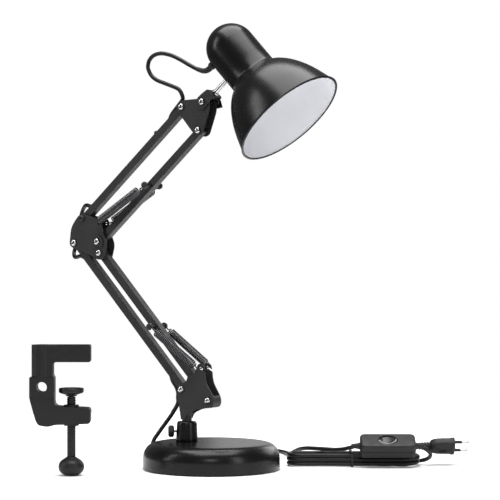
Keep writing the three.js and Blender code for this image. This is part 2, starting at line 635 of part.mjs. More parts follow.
rockerCut.translate(0, 0, 49.4);
const axle = rodY(1.6, -11.4, 11.4, 0, 3.6, 10);
const rockerFoot = well(4, 6, 1.4, 5);
const rocker = cut(joinAll([rockerTop, axle, rockerFoot]), [rockerCut]);
rocker.translate(0, 0, -3.6);
const rockerMesh = add('switch_rocker', rocker, GLOSS_BLACK, tilted);
rockerMesh.position.z = 3.6;
rockerMesh.rotation.y = -ROCKER_TILT;

// two-pin plug lying behind the switch's end
const plug = floorGroup(271, 48, 25);
plug.rotation.order = 'ZXY';
plug.rotation.x = -0.7;
const reliefProfile = [[3.1, 0]];
for (let i = 0; i < 5; i += 1) {
  reliefProfile.push([4.6 + i * 0.25, i * 3.6 + 0.2], [4.6 + i * 0.25, i * 3.6 + 2.2]);
  reliefProfile.push([3.8 + i * 0.25, i * 3.6 + 2.4], [3.8 + i * 0.25, i * 3.6 + 3.6]);
}
reliefProfile.push([5, 18.6], [3.1, 18.6], [3.1, 0]);
const relief = latheY(reliefProfile, 8);
relief.rotateZ(-Math.PI / 2);
add('plug_relief', relief, MATTE_BLACK, plug);
function alongX(geometry) {
  geometry.rotateY(Math.PI / 2);
  return geometry;
}
const plugBody = alongX(rounded(7.5, 12.4, 19, 46, 6.5, 2));
const plugFlange = alongX(rounded(8.6, 17.2, 45, 51, 7.5, 1));
const flangeTrim = boxAt(44, 54, -12.5, 12.5, -8.6, 8.6);
const flange = toGeometry(toSolid(plugFlange).intersect(toSolid(flangeTrim)));
const pinHoles = [-9.3, 9.3].map((y) => {
  const g = crossRod(2.3, 40, 54, 0, 12);
  g.translate(0, y, 0);
  return g;
});
add('plug_body', cut(joinAll([plugBody, flange]), pinHoles), MATTE_BLACK, plug);
[-9.3, 9.3].forEach((y, i) => {
  const pin = latheY([[0, 41], [2, 41], [2, 68.6], [1.2, 70], [0, 70]], 12);
  pin.rotateZ(-Math.PI / 2);
  pin.translate(0, y, 0);
  add(`plug_pin_${i + 1}`, pin, CHROME, plug);
});

// ---------- table clamp ----------
const clampSet = floorGroup(CLAMP_SIDE, CLAMP_BACK, 0);
const frameOutline = [
  [-8, 70, 6], [-4.4, 64, 5], [8, 62, 4], [16, 64.6, 4], [61, 66, 4], [61, 85.4, 4], [16, 88, 7],
  [15.4, 101, 3], [15.6, 124, 2], [13.8, 127, 2], [13.8, 143.5, 5], [61, 143.5, 2], [61, 165, 2],
  [-13.8, 165, 3], [-13.8, 127, 2], [-15.6, 124, 2], [-15.6, 98, 4],
];
const frameTools = [
  rodZ(6.8, 120, 170, 0, 0, 20),
  rodY(6.6, -20, 20, 0, 112, 20),
  rodZ(6.1, 60, 95, 36.4, 0, 20),
  boxAt(18, 58, -9, 9, 151, 170),
];
const frameBody = joinAll([slab(roundedShape(frameOutline), -13, 13), rodZ(9.5, 63, 89, 36.4, 0, 20)]);
add('clamp_frame', cut(frameBody, frameTools), MATTE_BLACK, clampSet);
const threadProfile = [[0, 18], [5.2, 18]];
for (let i = 0; i < 6; i += 1) {
  threadProfile.push([5.2, 26 + i * 12], [5.7, 29 + i * 12], [5.7, 34 + i * 12], [5.2, 37 + i * 12]);
}
threadProfile.push([4.8, 98.9], [3.4, 99.4], [3.4, 104.4], [0, 104.4]);
const thread = latheZ(threadProfile, 10);
const knobProfile = [[0, 0], [11, 0], [15.4, 4], [16.4, 10], [15, 16], [10, 21], [7.4, 23], [0, 23]];
const clampKnob = latheZ(knobProfile, 16);
const screw = joinAll([thread, clampKnob]);
screw.translate(36.4, 0, 0);
add('clamp_screw', screw, MATTE_BLACK, clampSet);
const pad = latheZ([[3.8, 100.2], [6.5, 100.2], [8, 102.6], [14.6, 105.6], [15.8, 107], [15.8, 109],
  [14.8, 110.4], [12.6, 109.4], [0, 108.8], [0, 104.8], [3.8, 104.8], [3.8, 100.2]], 18);
pad.translate(36.4, 0, 0);
add('clamp_pad', pad, MATTE_BLACK, clampSet);

export default lamp;
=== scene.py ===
"""Swing arm desk lamp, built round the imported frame. Lengths in the helpers are millimetres."""
import bpy
import bmesh
import json
import math
from mathutils import Matrix, Vector

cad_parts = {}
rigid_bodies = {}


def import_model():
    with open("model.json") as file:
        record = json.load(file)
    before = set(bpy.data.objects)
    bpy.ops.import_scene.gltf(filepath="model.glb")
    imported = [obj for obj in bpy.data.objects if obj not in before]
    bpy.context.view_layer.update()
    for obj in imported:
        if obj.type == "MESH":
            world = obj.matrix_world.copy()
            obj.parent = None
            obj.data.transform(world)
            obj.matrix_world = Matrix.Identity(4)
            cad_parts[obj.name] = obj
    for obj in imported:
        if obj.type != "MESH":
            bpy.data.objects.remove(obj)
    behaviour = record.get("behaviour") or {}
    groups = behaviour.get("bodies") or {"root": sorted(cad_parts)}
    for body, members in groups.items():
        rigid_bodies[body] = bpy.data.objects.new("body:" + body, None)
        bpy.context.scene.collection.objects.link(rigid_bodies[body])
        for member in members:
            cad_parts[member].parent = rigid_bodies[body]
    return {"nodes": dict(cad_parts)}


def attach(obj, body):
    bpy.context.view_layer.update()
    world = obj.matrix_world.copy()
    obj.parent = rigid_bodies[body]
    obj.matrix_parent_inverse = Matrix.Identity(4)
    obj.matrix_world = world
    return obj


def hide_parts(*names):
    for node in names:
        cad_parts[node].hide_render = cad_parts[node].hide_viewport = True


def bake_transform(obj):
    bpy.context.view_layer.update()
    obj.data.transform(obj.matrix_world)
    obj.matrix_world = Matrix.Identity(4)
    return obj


for leftover in list(bpy.data.objects):
    bpy.data.objects.remove(leftover)
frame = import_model()
scene = bpy.context.scene
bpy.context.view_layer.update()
MM = 0.001

# ---------- camera ----------
CAMERA_AZIMUTH = math.radians(30)
CAMERA_DISTANCE = 2.4
CAMERA_HEIGHT = 0.2734
camera_data = bpy.data.cameras.new("camera")
camera_data.sensor_width = 36
camera_data.lens = 132.9
camera_data.shift_x = 0.0772
camera_data.shift_y = 0.0176
camera_data.clip_end = 50
camera = bpy.data.objects.new("camera", camera_data)
scene.collection.objects.link(camera)
camera.location = (CAMERA_DISTANCE * math.sin(CAMERA_AZIMUTH),
                   -CAMERA_DISTANCE * math.cos(CAMERA_AZIMUTH), CAMERA_HEIGHT)
camera.rotation_euler = (math.pi / 2, 0, CAMERA_AZIMUTH)
scene.camera = camera

# ---------- driving dimensions, as in the CAD ----------
BASE_R, BASE_H, BASE_FLAT_R, BASE_WALL_H, BASE_SHEET = 89, 34.6, 72, 15, 1.2
POST_X, POST_R, THUMB_Z = -37, 6.35, 47.5
P1, P2, P3, P4 = (-40, 103), (0, 89.5), (-209, 295), (-169, 281.5)
P5, P6, P7, P8 = (-171, 296.5), (-196, 328), (-40, 472), (-15, 440.5)
P9 = (-7.8, 476.9)
LOWER_HOOK, UPPER_HOOK = (-11, 131), (-169, 321)
LOWER_CROSS_T, UPPER_CROSS_T = 126, 109
CAP = (29.7, 545.2)
HEAD_TURN = -0.737
STEM_DOWN, GLAND_UP = 25.4, 3.8
NECK_R = 32.5
SIDE_TURN = math.pi / 6
CORD_R = 2.7
PIN_HOLE_R = 2.85
BAR_R, BAR_HALF, BAR_WALL = 5, 6, 1
PLATE_OUT, PLATE_IN = 10, 8.5
PIN_SEAT = 10.3
SWITCH_SIDE, SWITCH_BACK, SWITCH_Z = 231, 18, 28.2
PLUG_SIDE, PLUG_BACK, PLUG_Z = 271, 48, 25
LOWER_L = math.dist(P1, P3)
UPPER_L = math.dist(P6, P7)


# ---------- materials ----------
FINISH = {}


def shade_of(colour, factor):
    return tuple(min(1.0, c * factor) for c in colour) + (1.0,)


def material(name, colour, roughness, metallic=0.0, grain=900.0, bump=0.15, depth=0.00003,
             tone=0.12, spread=0.06, specular=0.5):
    """Adds a finish whose colour, roughness and relief vary with noise in object space."""
    m = bpy.data.materials.new(name)
    m.use_nodes = True
    nodes, links = m.node_tree.nodes, m.node_tree.links
    bsdf = nodes["Principled BSDF"]
    bsdf.inputs["Metallic"].default_value = metallic
    bsdf.inputs["Specular IOR Level"].default_value = specular
    where = nodes.new("ShaderNodeTexCoord")

    def noise(scale, detail):
        n = nodes.new("ShaderNodeTexNoise")
        n.inputs["Scale"].default_value = scale
        n.inputs["Detail"].default_value = detail
        links.new(where.outputs["Object"], n.inputs["Vector"])
        return n.outputs["Fac"]

    def spread_to(source, low, high):
        r = nodes.new("ShaderNodeMapRange")
        r.inputs["From Min"].default_value = 0.3
        r.inputs["From Max"].default_value = 0.7
        r.inputs["To Min"].default_value = low
        r.inputs["To Max"].default_value = high
        links.new(source, r.inputs["Value"])
        return r.outputs["Result"]

    mix = nodes.new("ShaderNodeMix")
    mix.data_type = "RGBA"
    mix.inputs[6].default_value = shade_of(colour, 1 - tone)
    mix.inputs[7].default_value = shade_of(colour, 1 + tone)
    links.new(spread_to(noise(45.0, 4.0), 0.0, 1.0), mix.inputs[0])
    links.new(mix.outputs[2], bsdf.inputs["Base Color"])
    rough = spread_to(noise(160.0, 5.0), max(0.02, roughness - spread), min(1.0, roughness + spread))
    links.new(rough, bsdf.inputs["Roughness"])
    relief = nodes.new("ShaderNodeBump")
    relief.inputs["Strength"].default_value = bump
    relief.inputs["Distance"].default_value = depth
    links.new(noise(grain, 2.0), relief.inputs["Height"])
    links.new(relief.outputs["Normal"], bsdf.inputs["Normal"])
    FINISH[name] = m


material("gloss_black", (0.0035, 0.0035, 0.004), 0.27, grain=1500, bump=0.01, spread=0.01, specular=0.24)
material("satin_black", (0.020, 0.020, 0.020), 0.46, metallic=0.1, grain=2600, bump=0.25,
         depth=0.00004, specular=0.3)
material("bar_black", (0.021, 0.021, 0.0215), 0.42, metallic=0.1, grain=2600, bump=0.2, depth=0.00004,
         specular=0.3)
material("matte_black", (0.008, 0.008, 0.0082), 0.5, grain=2200, bump=0.4, depth=0.00006, specular=0.3)
material("clamp_black", (0.006, 0.006, 0.0062), 0.46, grain=1100, bump=0.4, depth=0.00008, specular=0.3)
material("cord_black", (0.003, 0.003, 0.003), 0.4, grain=1300, bump=0.2, depth=0.00004, specular=0.28)
material("chrome", (0.46, 0.46, 0.47), 0.13, metallic=1.0, grain=700, bump=0.04, tone=0.03, spread=0.03)
material("steel", (0.26, 0.26, 0.27), 0.33, metallic=1.0, grain=1700, bump=0.2, tone=0.08)
material("spring_steel", (0.085, 0.085, 0.09), 0.3, metallic=1.0, grain=2500, tone=0.2)
material("iron", (0.09, 0.088, 0.086), 0.75, metallic=0.6, grain=500, bump=0.8, depth=0.0003, tone=0.25)
material("brass", (0.62, 0.42, 0.14), 0.3, metallic=1.0, grain=900, tone=0.1)
material("felt", (0.012, 0.012, 0.012), 0.95, grain=1900, bump=1.0, depth=0.0003, tone=0.3)
material("white_plastic", (0.82, 0.82, 0.80), 0.38, grain=1300, bump=0.1, tone=0.03)
material("gloss_plastic", (0.010, 0.010, 0.0105), 0.14, grain=900, bump=0.06)
material("white_paint", (0.76, 0.765, 0.80), 0.42, grain=1500, tone=0.02)
material("floor_white", (0.93, 0.93, 0.93), 0.75, grain=60, bump=0.0, tone=0.01)


# ---------- mesh helpers ----------
def turned(profile, segments=64, flutes=None):
    """Profile of (radius, z) turned about Z. flutes is (count, depth, from z, to z)."""
    points = list(profile)
    closed = points[0] == points[-1]
    if closed:
        points = points[:-1]
    verts, rings, faces = [], [], []
    for r, z in points:
        if r < 1e-6:
            rings.append([len(verts)])
            verts.append((0, 0, z))
            continue
        ring = []
        for i in range(segments):
            a = math.tau * i / segments
            radius = r
            if flutes and flutes[2] <= z <= flutes[3]:
                radius -= flutes[1] * (0.5 - 0.5 * math.cos(flutes[0] * a)) ** 2
            ring.append(len(verts))
            verts.append((radius * math.cos(a), radius * math.sin(a), z))
        rings.append(ring)
    pairs = list(zip(rings, rings[1:]))
    if closed:
        pairs.append((rings[-1], rings[0]))
    for low, high in pairs:
        if len(low) == 1 and len(high) == 1:
            continue
        for i in range(segments):
            j = (i + 1) % segments
            if len(low) == 1:
                faces.append((low[0], high[j], high[i]))
            elif len(high) == 1:
                faces.append((low[i], low[j], high[0]))
            else:
                faces.append((low[i], low[j], high[j], high[i]))
    return verts, faces


def threaded(r, depth, pitch, z0, z1, segments=40, core=0.0, steps=8):
    """Rod or sleeve from z0 to z1 with a helical thread of that depth and pitch."""
    rows = max(2, round((z1 - z0) / pitch * steps))
    verts, faces = [], []

    def wave(z, a):
        phase = (z / pitch - a / math.tau) % 1.0
        fade = min(1.0, (z - z0) / pitch, (z1 - z) / pitch)
        return depth * max(0.0, fade) * (0.5 - 0.5 * math.cos(math.tau * phase))

    for k in range(rows + 1):
        z = z0 + (z1 - z0) * k / rows
        for i in range(segments):
            a = math.tau * i / segments
            radius = r + wave(z, a)
            verts.append((radius * math.cos(a), radius * math.sin(a), z))
    for k in range(rows):
        for i in range(segments):
            j = (i + 1) % segments
            faces.append((k * segments + i, k * segments + j, (k + 1) * segments + j,
                          (k + 1) * segments + i))
    if core:
        offset = len(verts)
        for x, y, z in verts[:]:
            length = math.hypot(x, y)
            verts.append((x * (length - core) / length, y * (length - core) / length, z))
        count = len(faces)
        for f in faces[:count]:
            faces.append(tuple(offset + v for v in reversed(f)))
        last = rows * segments
        for i in range(segments):
            j = (i + 1) % segments
            faces.append((j, i, offset + i, offset + j))
            faces.append((last + i, last + j, offset + last + j, offset + last + i))
    else:
        faces.append(tuple(reversed(range(segments))))
        faces.append(tuple(range(rows * segments, (rows + 1) * segments)))
    return verts, faces


def rounded(points, steps=6):
    """Outline of (x, z, radius) corners with each corner rounded."""
    out = []
    n = len(points)
    for i, (x, z, r) in enumerate(points):
        here = Vector((x, z))
        before = Vector(points[i - 1][:2]) - here
        after = Vector(points[(i + 1) % n][:2]) - here
        reach = min(r, before.length * 0.48, after.length * 0.48)
        if reach < 1e-6:
            out.append((x, z))
            continue
        start = here + before.normalized() * reach
        end = here + after.normalized() * reach
        for k in range(steps + 1):
            t = k / steps
            p = start * (1 - t) ** 2 + here * (2 * t * (1 - t)) + end * t * t
            out.append((p.x, p.y))
    return out


def oval(rx, ry, n=48, cx=0.0, cz=0.0):
    return [(cx + rx * math.cos(math.tau * i / n), cz + ry * math.sin(math.tau * i / n))
            for i in range(n)]


def slab(outline, y0, y1):
    """Outline in XZ run along Y from y0 to y1."""
    n = len(outline)
    verts = [(x, y0, z) for x, z in outline] + [(x, y1, z) for x, z in outline]
    faces = [tuple(range(n)), tuple(reversed(range(n, 2 * n)))]
    faces += [(i, i + n, (i + 1) % n + n, (i + 1) % n) for i in range(n)]
    return verts, faces


def block(x0, x1, y0, y1, z0, z1):
    return slab([(x0, z0), (x1, z0), (x1, z1), (x0, z1)], y0, y1)


def rod(r, y0, y1, x=0.0, z=0.0, n=32):
    return slab(oval(r, r, n, x, z), y0, y1)


def smooth_path(points, step):
    """Centripetal Catmull-Rom curve through the points, walked at even steps."""
    p = [Vector(q) for q in points]
    p = [p[0] * 2 - p[1]] + p + [p[-1] * 2 - p[-2]]
    dense = []
    for i in range(1, len(p) - 2):
        a, b, c, d = p[i - 1:i + 3]
        t1 = max((b - a).length, 1e-6) ** 0.5
        t2 = t1 + max((c - b).length, 1e-6) ** 0.5
        t3 = t2 + max((d - c).length, 1e-6) ** 0.5
        count = max(4, int((c - b).length / step * 4))
        for k in range(count):
            t = t1 + (t2 - t1) * k / count
            a1 = a * ((t1 - t) / t1) + b * (t / t1)
            a2 = b * ((t2 - t) / (t2 - t1)) + c * ((t - t1) / (t2 - t1))
            a3 = c * ((t3 - t) / (t3 - t2)) + d * ((t - t2) / (t3 - t2))
            b1 = a1 * ((t2 - t) / t2) + a2 * (t / t2)
            b2 = a2 * ((t3 - t) / (t3 - t1)) + a3 * ((t - t1) / (t3 - t1))
            dense.append(b1 * ((t2 - t) / (t2 - t1)) + b2 * ((t - t1) / (t2 - t1)))
    dense.append(p[-2])
    total = sum((b - a).length for a, b in zip(dense, dense[1:]))
    count = max(2, round(total / step))
    even, walked, k = [dense[0]], 0.0, 0
    for n in range(1, count):
        target = total * n / count
        while walked + (dense[k + 1] - dense[k]).length < target:
            walked += (dense[k + 1] - dense[k]).length
            k += 1
        share = (target - walked) / (dense[k + 1] - dense[k]).length
        even.append(dense[k].lerp(dense[k + 1], share))
    even.append(dense[-1])
    return even, total


def swept(centres, radius, sides=16):
    """Round section carried along the ring centres; radius is a number or one for each ring."""
    n = len(centres)
    radii = radius if isinstance(radius, list) else [radius] * n
    verts, faces = [], []

    def heading(i):
        return (centres[min(i + 1, n - 1)] - centres[max(i - 1, 0)]).normalized()

    side = heading(0).orthogonal().normalized()
    for i, c in enumerate(centres):
        d = heading(i)
        side = (side - d * side.dot(d)).normalized()
        other = d.cross(side)
        for k in range(sides):
            a = math.tau * k / sides
            verts.append(tuple(c + (side * math.cos(a) + other * math.sin(a)) * radii[i]))
    for i in range(n - 1):
        low, high = i * sides, (i + 1) * sides
        for k in range(sides):
            j = (k + 1) % sides
            faces.append((low + k, low + j, high + j, high + k))
    faces.append(tuple(reversed(range(sides))))
    faces.append(tuple(range((n - 1) * sides, n * sides)))
    return verts, faces


def raw_object(name, parts, matrix=None):
    """One mesh object from (verts, faces) parts in millimetres, faces turned outward."""
    bm = bmesh.new()
    for verts, faces in parts:
        made = [bm.verts.new(v) for v in verts]
        for f in faces:
            bm.faces.new([made[i] for i in f])
    if matrix:
        bm.transform(matrix)
    bm.transform(Matrix.Scale(MM, 4))
    bmesh.ops.recalc_face_normals(bm, faces=bm.faces[:])
    mesh = bpy.data.meshes.new(name)
    bm.to_mesh(mesh)
    bm.free()
    obj = bpy.data.objects.new(name, mesh)
    scene.collection.objects.link(obj)
    return obj


def bake(obj):
    """Applies the modifiers, so that the piece's own mesh is its final shape."""
    graph = bpy.context.evaluated_depsgraph_get()
    mesh = bpy.data.meshes.new_from_object(obj.evaluated_get(graph))
    obj.modifiers.clear()
    obj.data = mesh


def soften(obj, degrees):
    """Smooth shading, with edges sharper than that many degrees kept crisp."""
    bm = bmesh.new()
    bm.from_mesh(obj.data)
    bmesh.ops.remove_doubles(bm, verts=bm.verts[:], dist=1e-7)
    limit = math.radians(degrees)
    for f in bm.faces:
        f.smooth = True
    for e in bm.edges:
        e.smooth = len(e.link_faces) == 2 and e.calc_face_angle(0) < limit
    bm.to_mesh(obj.data)
    bm.free()


def piece(name, parts, slot, body, nodes=(), cuts=(), matrix=None, bevel=0.0, crisp=40, joins=(),
          finish=None):
    """A finished piece: joined, cut, bevelled, smoothed, painted and riding on its body.

    The body is a name. Given instead two names with the start and end of a blend, the piece is baked in
    place on no body, and no blend is made here.
    """
    obj = raw_object(name, parts, matrix)
    helpers = []
    for kind, tools in (("UNION", joins), ("DIFFERENCE", cuts)):
        for tool in tools:
            other = raw_object("tool", [tool], matrix)
            helpers.append(other)
            m = obj.modifiers.new("cut", "BOOLEAN")
            m.operation, m.solver, m.object = kind, "EXACT", other
    if bevel:
        m = obj.modifiers.new("edge", "BEVEL")
        m.width, m.segments, m.limit_method = bevel * MM, 2, "ANGLE"
        m.angle_limit = math.radians(32)
    if helpers or bevel:
        bake(obj)
    for h in helpers:
        bpy.data.objects.remove(h)
    soften(obj, crisp)
    if bevel:
        m = obj.modifiers.new("normals", "WEIGHTED_NORMAL")
        m.keep_sharp = True
        bake(obj)
    obj.data.materials.clear()
    obj.data.materials.append(FINISH[finish or slot])
    if isinstance(body, str):
        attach(obj, body)
    else:
        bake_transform(obj)
    if nodes:
        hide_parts(*nodes)
    return obj


def beside(a, b, t, off, y=0.0):
    """Point t along the bar from a, and off outward from its centre line."""
    dx, dz, length = b[0] - a[0], b[1] - a[1], math.dist(a, b)
    return (a[0] + (dx * t - dz * off) / length, y, a[1] + (dz * t + dx * off) / length)


def on_floor(side, back, z):
    """Point given along and behind the line that the lead and the clamp lie on."""
    c, s = math.cos(SIDE_TURN), math.sin(SIDE_TURN)
    return (side * c - back * s, side * s + back * c, z)


def on_gland(out):
    """Point on the gland's axis, that far out from the head's centre."""
    c, s = math.cos(HEAD_TURN), math.sin(HEAD_TURN)
    return (CAP[0] - out * c + GLAND_UP * s, 0, CAP[1] + out * s + GLAND_UP * c)


HEAD = Matrix.Translation((CAP[0], 0, CAP[1])) @ Matrix.Rotation(HEAD_TURN, 4, "Y")
TILT = Matrix.Translation((P9[0], 0, P9[1])) @ Matrix.Rotation(HEAD_TURN, 4, "Y")
SIDEWAYS = Matrix.Rotation(SIDE_TURN, 4, "Z")
Y_TO_Z = Matrix.Rotation(math.pi / 2, 4, "X")
Z_TO_Y = Matrix.Rotation(-math.pi / 2, 4, "X")
Z_TO_X = Matrix.Rotation(math.pi / 2, 4, "Y")
Z_TO_MINUS_X = Matrix.Rotation(-math.pi / 2, 4, "Y")


def moved(part, matrix):
    verts, faces = part
    return [tuple(matrix @ Vector(v)) for v in verts], faces


def floor_matrix(side, back, z):
    return Matrix.Translation(on_floor(side, back, z)) @ SIDEWAYS


# ---------- cords ----------
CORDS = []


def cord_piece(name, route, body, nodes, far_end="object", with_pieces=()):
    """A cord along its route; declare_cords prints its name and length."""
    centres, total = smooth_path(route, 2.2)
    obj = piece(name, [swept(centres, CORD_R)], "cord_black", body, nodes, crisp=50)
    CORDS.append((obj, route[0], total, centres, far_end, list(with_pieces)))


def declare_cords():
    for obj, start, total, centres, far_end, names in CORDS:
        print("cord", obj.name, round(total, 1), "mm")


HANK_LEFT, HANK_RIGHT = 118.3, 256.7
HANK_BACK, FOLD_R = 40, 16.3
LAYER = 5.6
FLOOR_Z = 3.9
FIRST_SIDE, LAST_SIDE = 238, 200
FIRST_RISE = LAYER + 0.1
BACK_RUN, FRONT_RUN = HANK_BACK + FOLD_R, HANK_BACK - FOLD_R
LEVELS = [FLOOR_Z + LAYER * k for k in range(3)]


def fold(centre, start, end, z, rise):
    """Points round a fold of the hank, from one angle to another, going up from z by rise."""
    points = []
    for k in range(7):
        a = math.radians(start + (end - start) * k / 6)
        points.append(on_floor(centre + FOLD_R * math.cos(a), HANK_BACK + FOLD_R * math.sin(a),
                               z + rise * k / 6))
    return points


def run(side0, side1, back, z):
    """Points strictly between the ends of a straight run of the hank."""
    return [on_floor(side0 + (side1 - side0) * k / 4, back, z) for k in range(1, 4)]


def hank():
    """Three layers of runs and folds, from where the cord enters on the table to where it leaves."""
    points = []
    for layer, z in enumerate(LEVELS):
        top = layer == len(LEVELS) - 1
        points += run(HANK_RIGHT if layer else FIRST_SIDE, HANK_LEFT, BACK_RUN, z)
        points += fold(HANK_LEFT, 90, 270, z, 0)
        points += run(HANK_LEFT, LAST_SIDE if top else HANK_RIGHT, FRONT_RUN, z)
        if not top:
            points += fold(HANK_RIGHT, -90, 90, z, LAYER if layer else FIRST_RISE)
    return points


MAINS_ROUTE = [
    (-50.8, 0, 92), (-51, 0.5, 84), on_floor(-49.5, 29, 73), on_floor(-54.5, 33, 65),
    on_floor(-61.5, 39, 55), on_floor(-69.5, 45, 43.5), on_floor(-76.5, 50.5, 32.5),
    on_floor(-79, 54, 22), on_floor(-78.5, 60, 12), on_floor(-74, 78, 5), on_floor(-62, 112, 3),
    on_floor(-32, 160, 3), on_floor(8, 198, 3), on_floor(48, 216, 3), on_floor(84, 212, 3),
    on_floor(100, 188, 3), on_floor(106, 152, 4.6), on_floor(109, 118, 8.5), on_floor(113, 96, 13.4),
    on_floor(119, 79, 18), on_floor(128, 66, 20.5), on_floor(140, 57, 20.9), on_floor(152, 49.5, 20.9),
    on_floor(164, 40.5, 21.1), on_floor(174, 32, 22.8), on_floor(182, 25, 25.4),
    on_floor(189, 20, 27.4), on_floor(196, SWITCH_BACK, SWITCH_Z),
]
PLUG_ROUTE = [
    on_floor(267.3, SWITCH_BACK, SWITCH_Z), on_floor(275, 18.6, 27), on_floor(283, 22.5, 22.5),
    on_floor(288, 30, 17.5), on_floor(289, 38, 13), on_floor(287, 46.5, 9), on_floor(282, 53, 6),
    on_floor(274, 57.8, 4.3), on_floor(262, 58.8, FLOOR_Z), on_floor(250, 57.4, FLOOR_Z),
    on_floor(FIRST_SIDE, BACK_RUN, FLOOR_Z),
] + hank() + [
    on_floor(197, 23.9, LEVELS[2]), on_floor(207, 26.6, 15.8), on_floor(218, 34, 18),
    on_floor(230, 41.5, 21.2), on_floor(250, 46, 23.4), on_floor(PLUG_SIDE + 0.4, PLUG_BACK, PLUG_Z),
]
ELBOW_UPPER = [
    beside(P6, P7, 29.4, 1.3), beside(P6, P7, 22, 3.8), beside(P6, P7, 16.5, 6.8, 0.6), (-194.2, 2.8, 345.6),
    (-201, 7, 345.8), (-208.4, 12.4, 341.6), (-214, 15.5, 333), (-217.5, 16.2, 322), (-219.1, 16.3, 312.9),
]
ELBOW_LOWER = [
    (-219.1, 16.3, 312.9), (-221, 16.2, 300), (-223.6, 15, 289), (-224, 12.5, 281), (-218.4, 7.2, 275.6),
    beside(P1, P3, LOWER_L - 15.5, 9, 2.4), beside(P1, P3, LOWER_L - 20.5, 6, 0),
    beside(P1, P3, LOWER_L - 26, 2.4), beside(P1, P3, LOWER_L - 32, 0.9),
]
LOWER_CORD = [
    beside(P1, P3, LOWER_L - 32, 0.9), beside(P1, P3, LOWER_L - 48, 0), beside(P1, P3, 180, 0),
    beside(P1, P3, 120, 0), beside(P1, P3, 70, 0), beside(P1, P3, 42, 0.2), beside(P1, P3, 31, 3),
    beside(P1, P3, 20, 7.6), beside(P1, P3, 9, 9), (-50.4, 0, 96.5), (-50.8, 0, 92),
]
UPPER_CORD = [
    beside(P6, P7, 29.4, 1.3), beside(P6, P7, 45, 0), beside(P6, P7, 90, 0), beside(P6, P7, 130, 0),
    beside(P6, P7, UPPER_L - 42, 0.2), beside(P6, P7, UPPER_L - 32, 2.6),
    beside(P6, P7, UPPER_L - 21, 7.2), beside(P6, P7, UPPER_L - 8, 8.6), (-43.2, 0, 483.2),
    (-43.5, 0, 486),
]
HEAD_OUTER = [
    (-43.5, 0, 486), (-45.6, 0, 491), (-49.5, 0, 496), (-56.8, 0, 499.5), (-70.7, 0, 504.8),
    (-84.6, 0, 510.5), (-92.4, 0, 517), (-97, 0, 525.8), (-97.3, 0, 527),
]
HEAD_INNER = [
    (-97.3, 0, 527), (-97.2, 0, 529), (-95.6, 0, 535.5), (-89.3, 0, 542), (-78.4, 0, 544.7), (-63, 0, 541.9),
    (-47.6, 0, 535.1), (-33, 0, 527), (-21.5, 0, 521.2), (-12.5, 0, 518.4), (-7.2, 0, 518.6),
    on_gland(41), on_gland(36), on_gland(29.2),
]
PLUG_PIECES = ["plug_strain_relief", "plug_shell", "plug_pin_left", "plug_pin_right",
               "plug_pin_sleeve_left", "plug_pin_sleeve_right", "tie_band"]
cord_piece("mains_cord", MAINS_ROUTE, ("post_bracket", "base", (-51, 0, 84), (-51, 0, 31)),
           ["mains_lead", "switch_tail"],
           with_pieces=["switch_lower_shell", "switch_upper_shell", "rocker_cap", "rocker_axle",
                        "switch_relief_left", "switch_relief_right"])
cord_piece("plug_cord", PLUG_ROUTE, "base", ["plug_tail", "hank", "plug_end"], far_end="plug",
           with_pieces=PLUG_PIECES)
cord_piece("lower_arm_cord", LOWER_CORD,
           ("lower_rear", "post_bracket", beside(P1, P3, 36, 2), (-50.4, 0, 97)), ["cord_lower_arm"])
cord_piece("elbow_cord_lower", ELBOW_LOWER, ("elbow", "lower_rear", (-221, 16, 298), (-217, 5, 272)),
           ["cord_elbow_lower"])
cord_piece("elbow_cord_upper", ELBOW_UPPER, ("upper_rear", "elbow", (-196, 5, 348.5), (-217, 16, 324)),
           ["cord_elbow_upper"])
cord_piece("upper_arm_cord", UPPER_CORD,
           ("upper_rear", "top", beside(P6, P7, UPPER_L - 34, 2), (-43.4, 0, 484.5)), ["cord_upper_arm"])
cord_piece("head_cord_outer", HEAD_OUTER, ("top", "head_clamp", (-45, 0, 490), (-92, 0, 517)),
           ["cord_head_outer"])
cord_piece("head_cord_inner", HEAD_INNER, ("head_clamp", "head", (-95, 0, 537), (-22, 0, 521)),
           ["cord_head_inner"])

# ---------- base ----------
cover = [(BASE_R - 0.5, 0.9), (BASE_R, 1.4), (BASE_R, BASE_WALL_H)]
cover_inner = [(BASE_R - BASE_SHEET, BASE_WALL_H)]
rise, reach = BASE_H - BASE_WALL_H, BASE_R - BASE_FLAT_R
for step in range(1, 15):
    angle = math.pi / 2 * step / 14
    cover.append((BASE_FLAT_R + reach * math.cos(angle), BASE_WALL_H + rise * math.sin(angle)))
    cover_inner.append((BASE_FLAT_R + (reach - BASE_SHEET) * math.cos(angle),
                        BASE_WALL_H + (rise - BASE_SHEET) * math.sin(angle)))
cover += [(60, BASE_H), (40, BASE_H), (0, BASE_H), (0, BASE_H - BASE_SHEET)] + cover_inner[::-1]
cover += [(BASE_R - BASE_SHEET, 0.9), (BASE_R - 0.5, 0.9)]
AT_POST = Matrix.Translation((POST_X, 0, 0))
piece("base_shell", [turned(cover, 144)], "gloss_black", "base", ["base_cover"], crisp=35,
      cuts=[moved(turned([(0, 30), (3.3, 30), (3.3, 36), (0, 36)], 32), AT_POST)])
felt = [(0, 0), (85.6, 0), (86.4, 0.3), (86.8, 0.9), (86.8, 2.2), (86.4, 2.5), (0, 2.5)]
piece("base_felt", [turned(felt, 144)], "felt", "base", ["base_pad"])
socket = [(3.3, 34.9), (13.8, 34.9), (14.3, 35.1), (14.5, 35.6), (14.4, 38), (13.3, 55), (12.95, 58.4),
          (12.6, 59.5), (12.1, 60.2), (11.4, 60.6), (7.4, 60.6), (6.9, 60.2), (6.8, 59.6), (6.8, 41),
          (3.3, 41), (3.3, 34.9)]
INTO_POST = Matrix.Translation((0, 0, THUMB_Z)) @ SIDEWAYS @ Z_TO_MINUS_X
THUMB = AT_POST @ INTO_POST
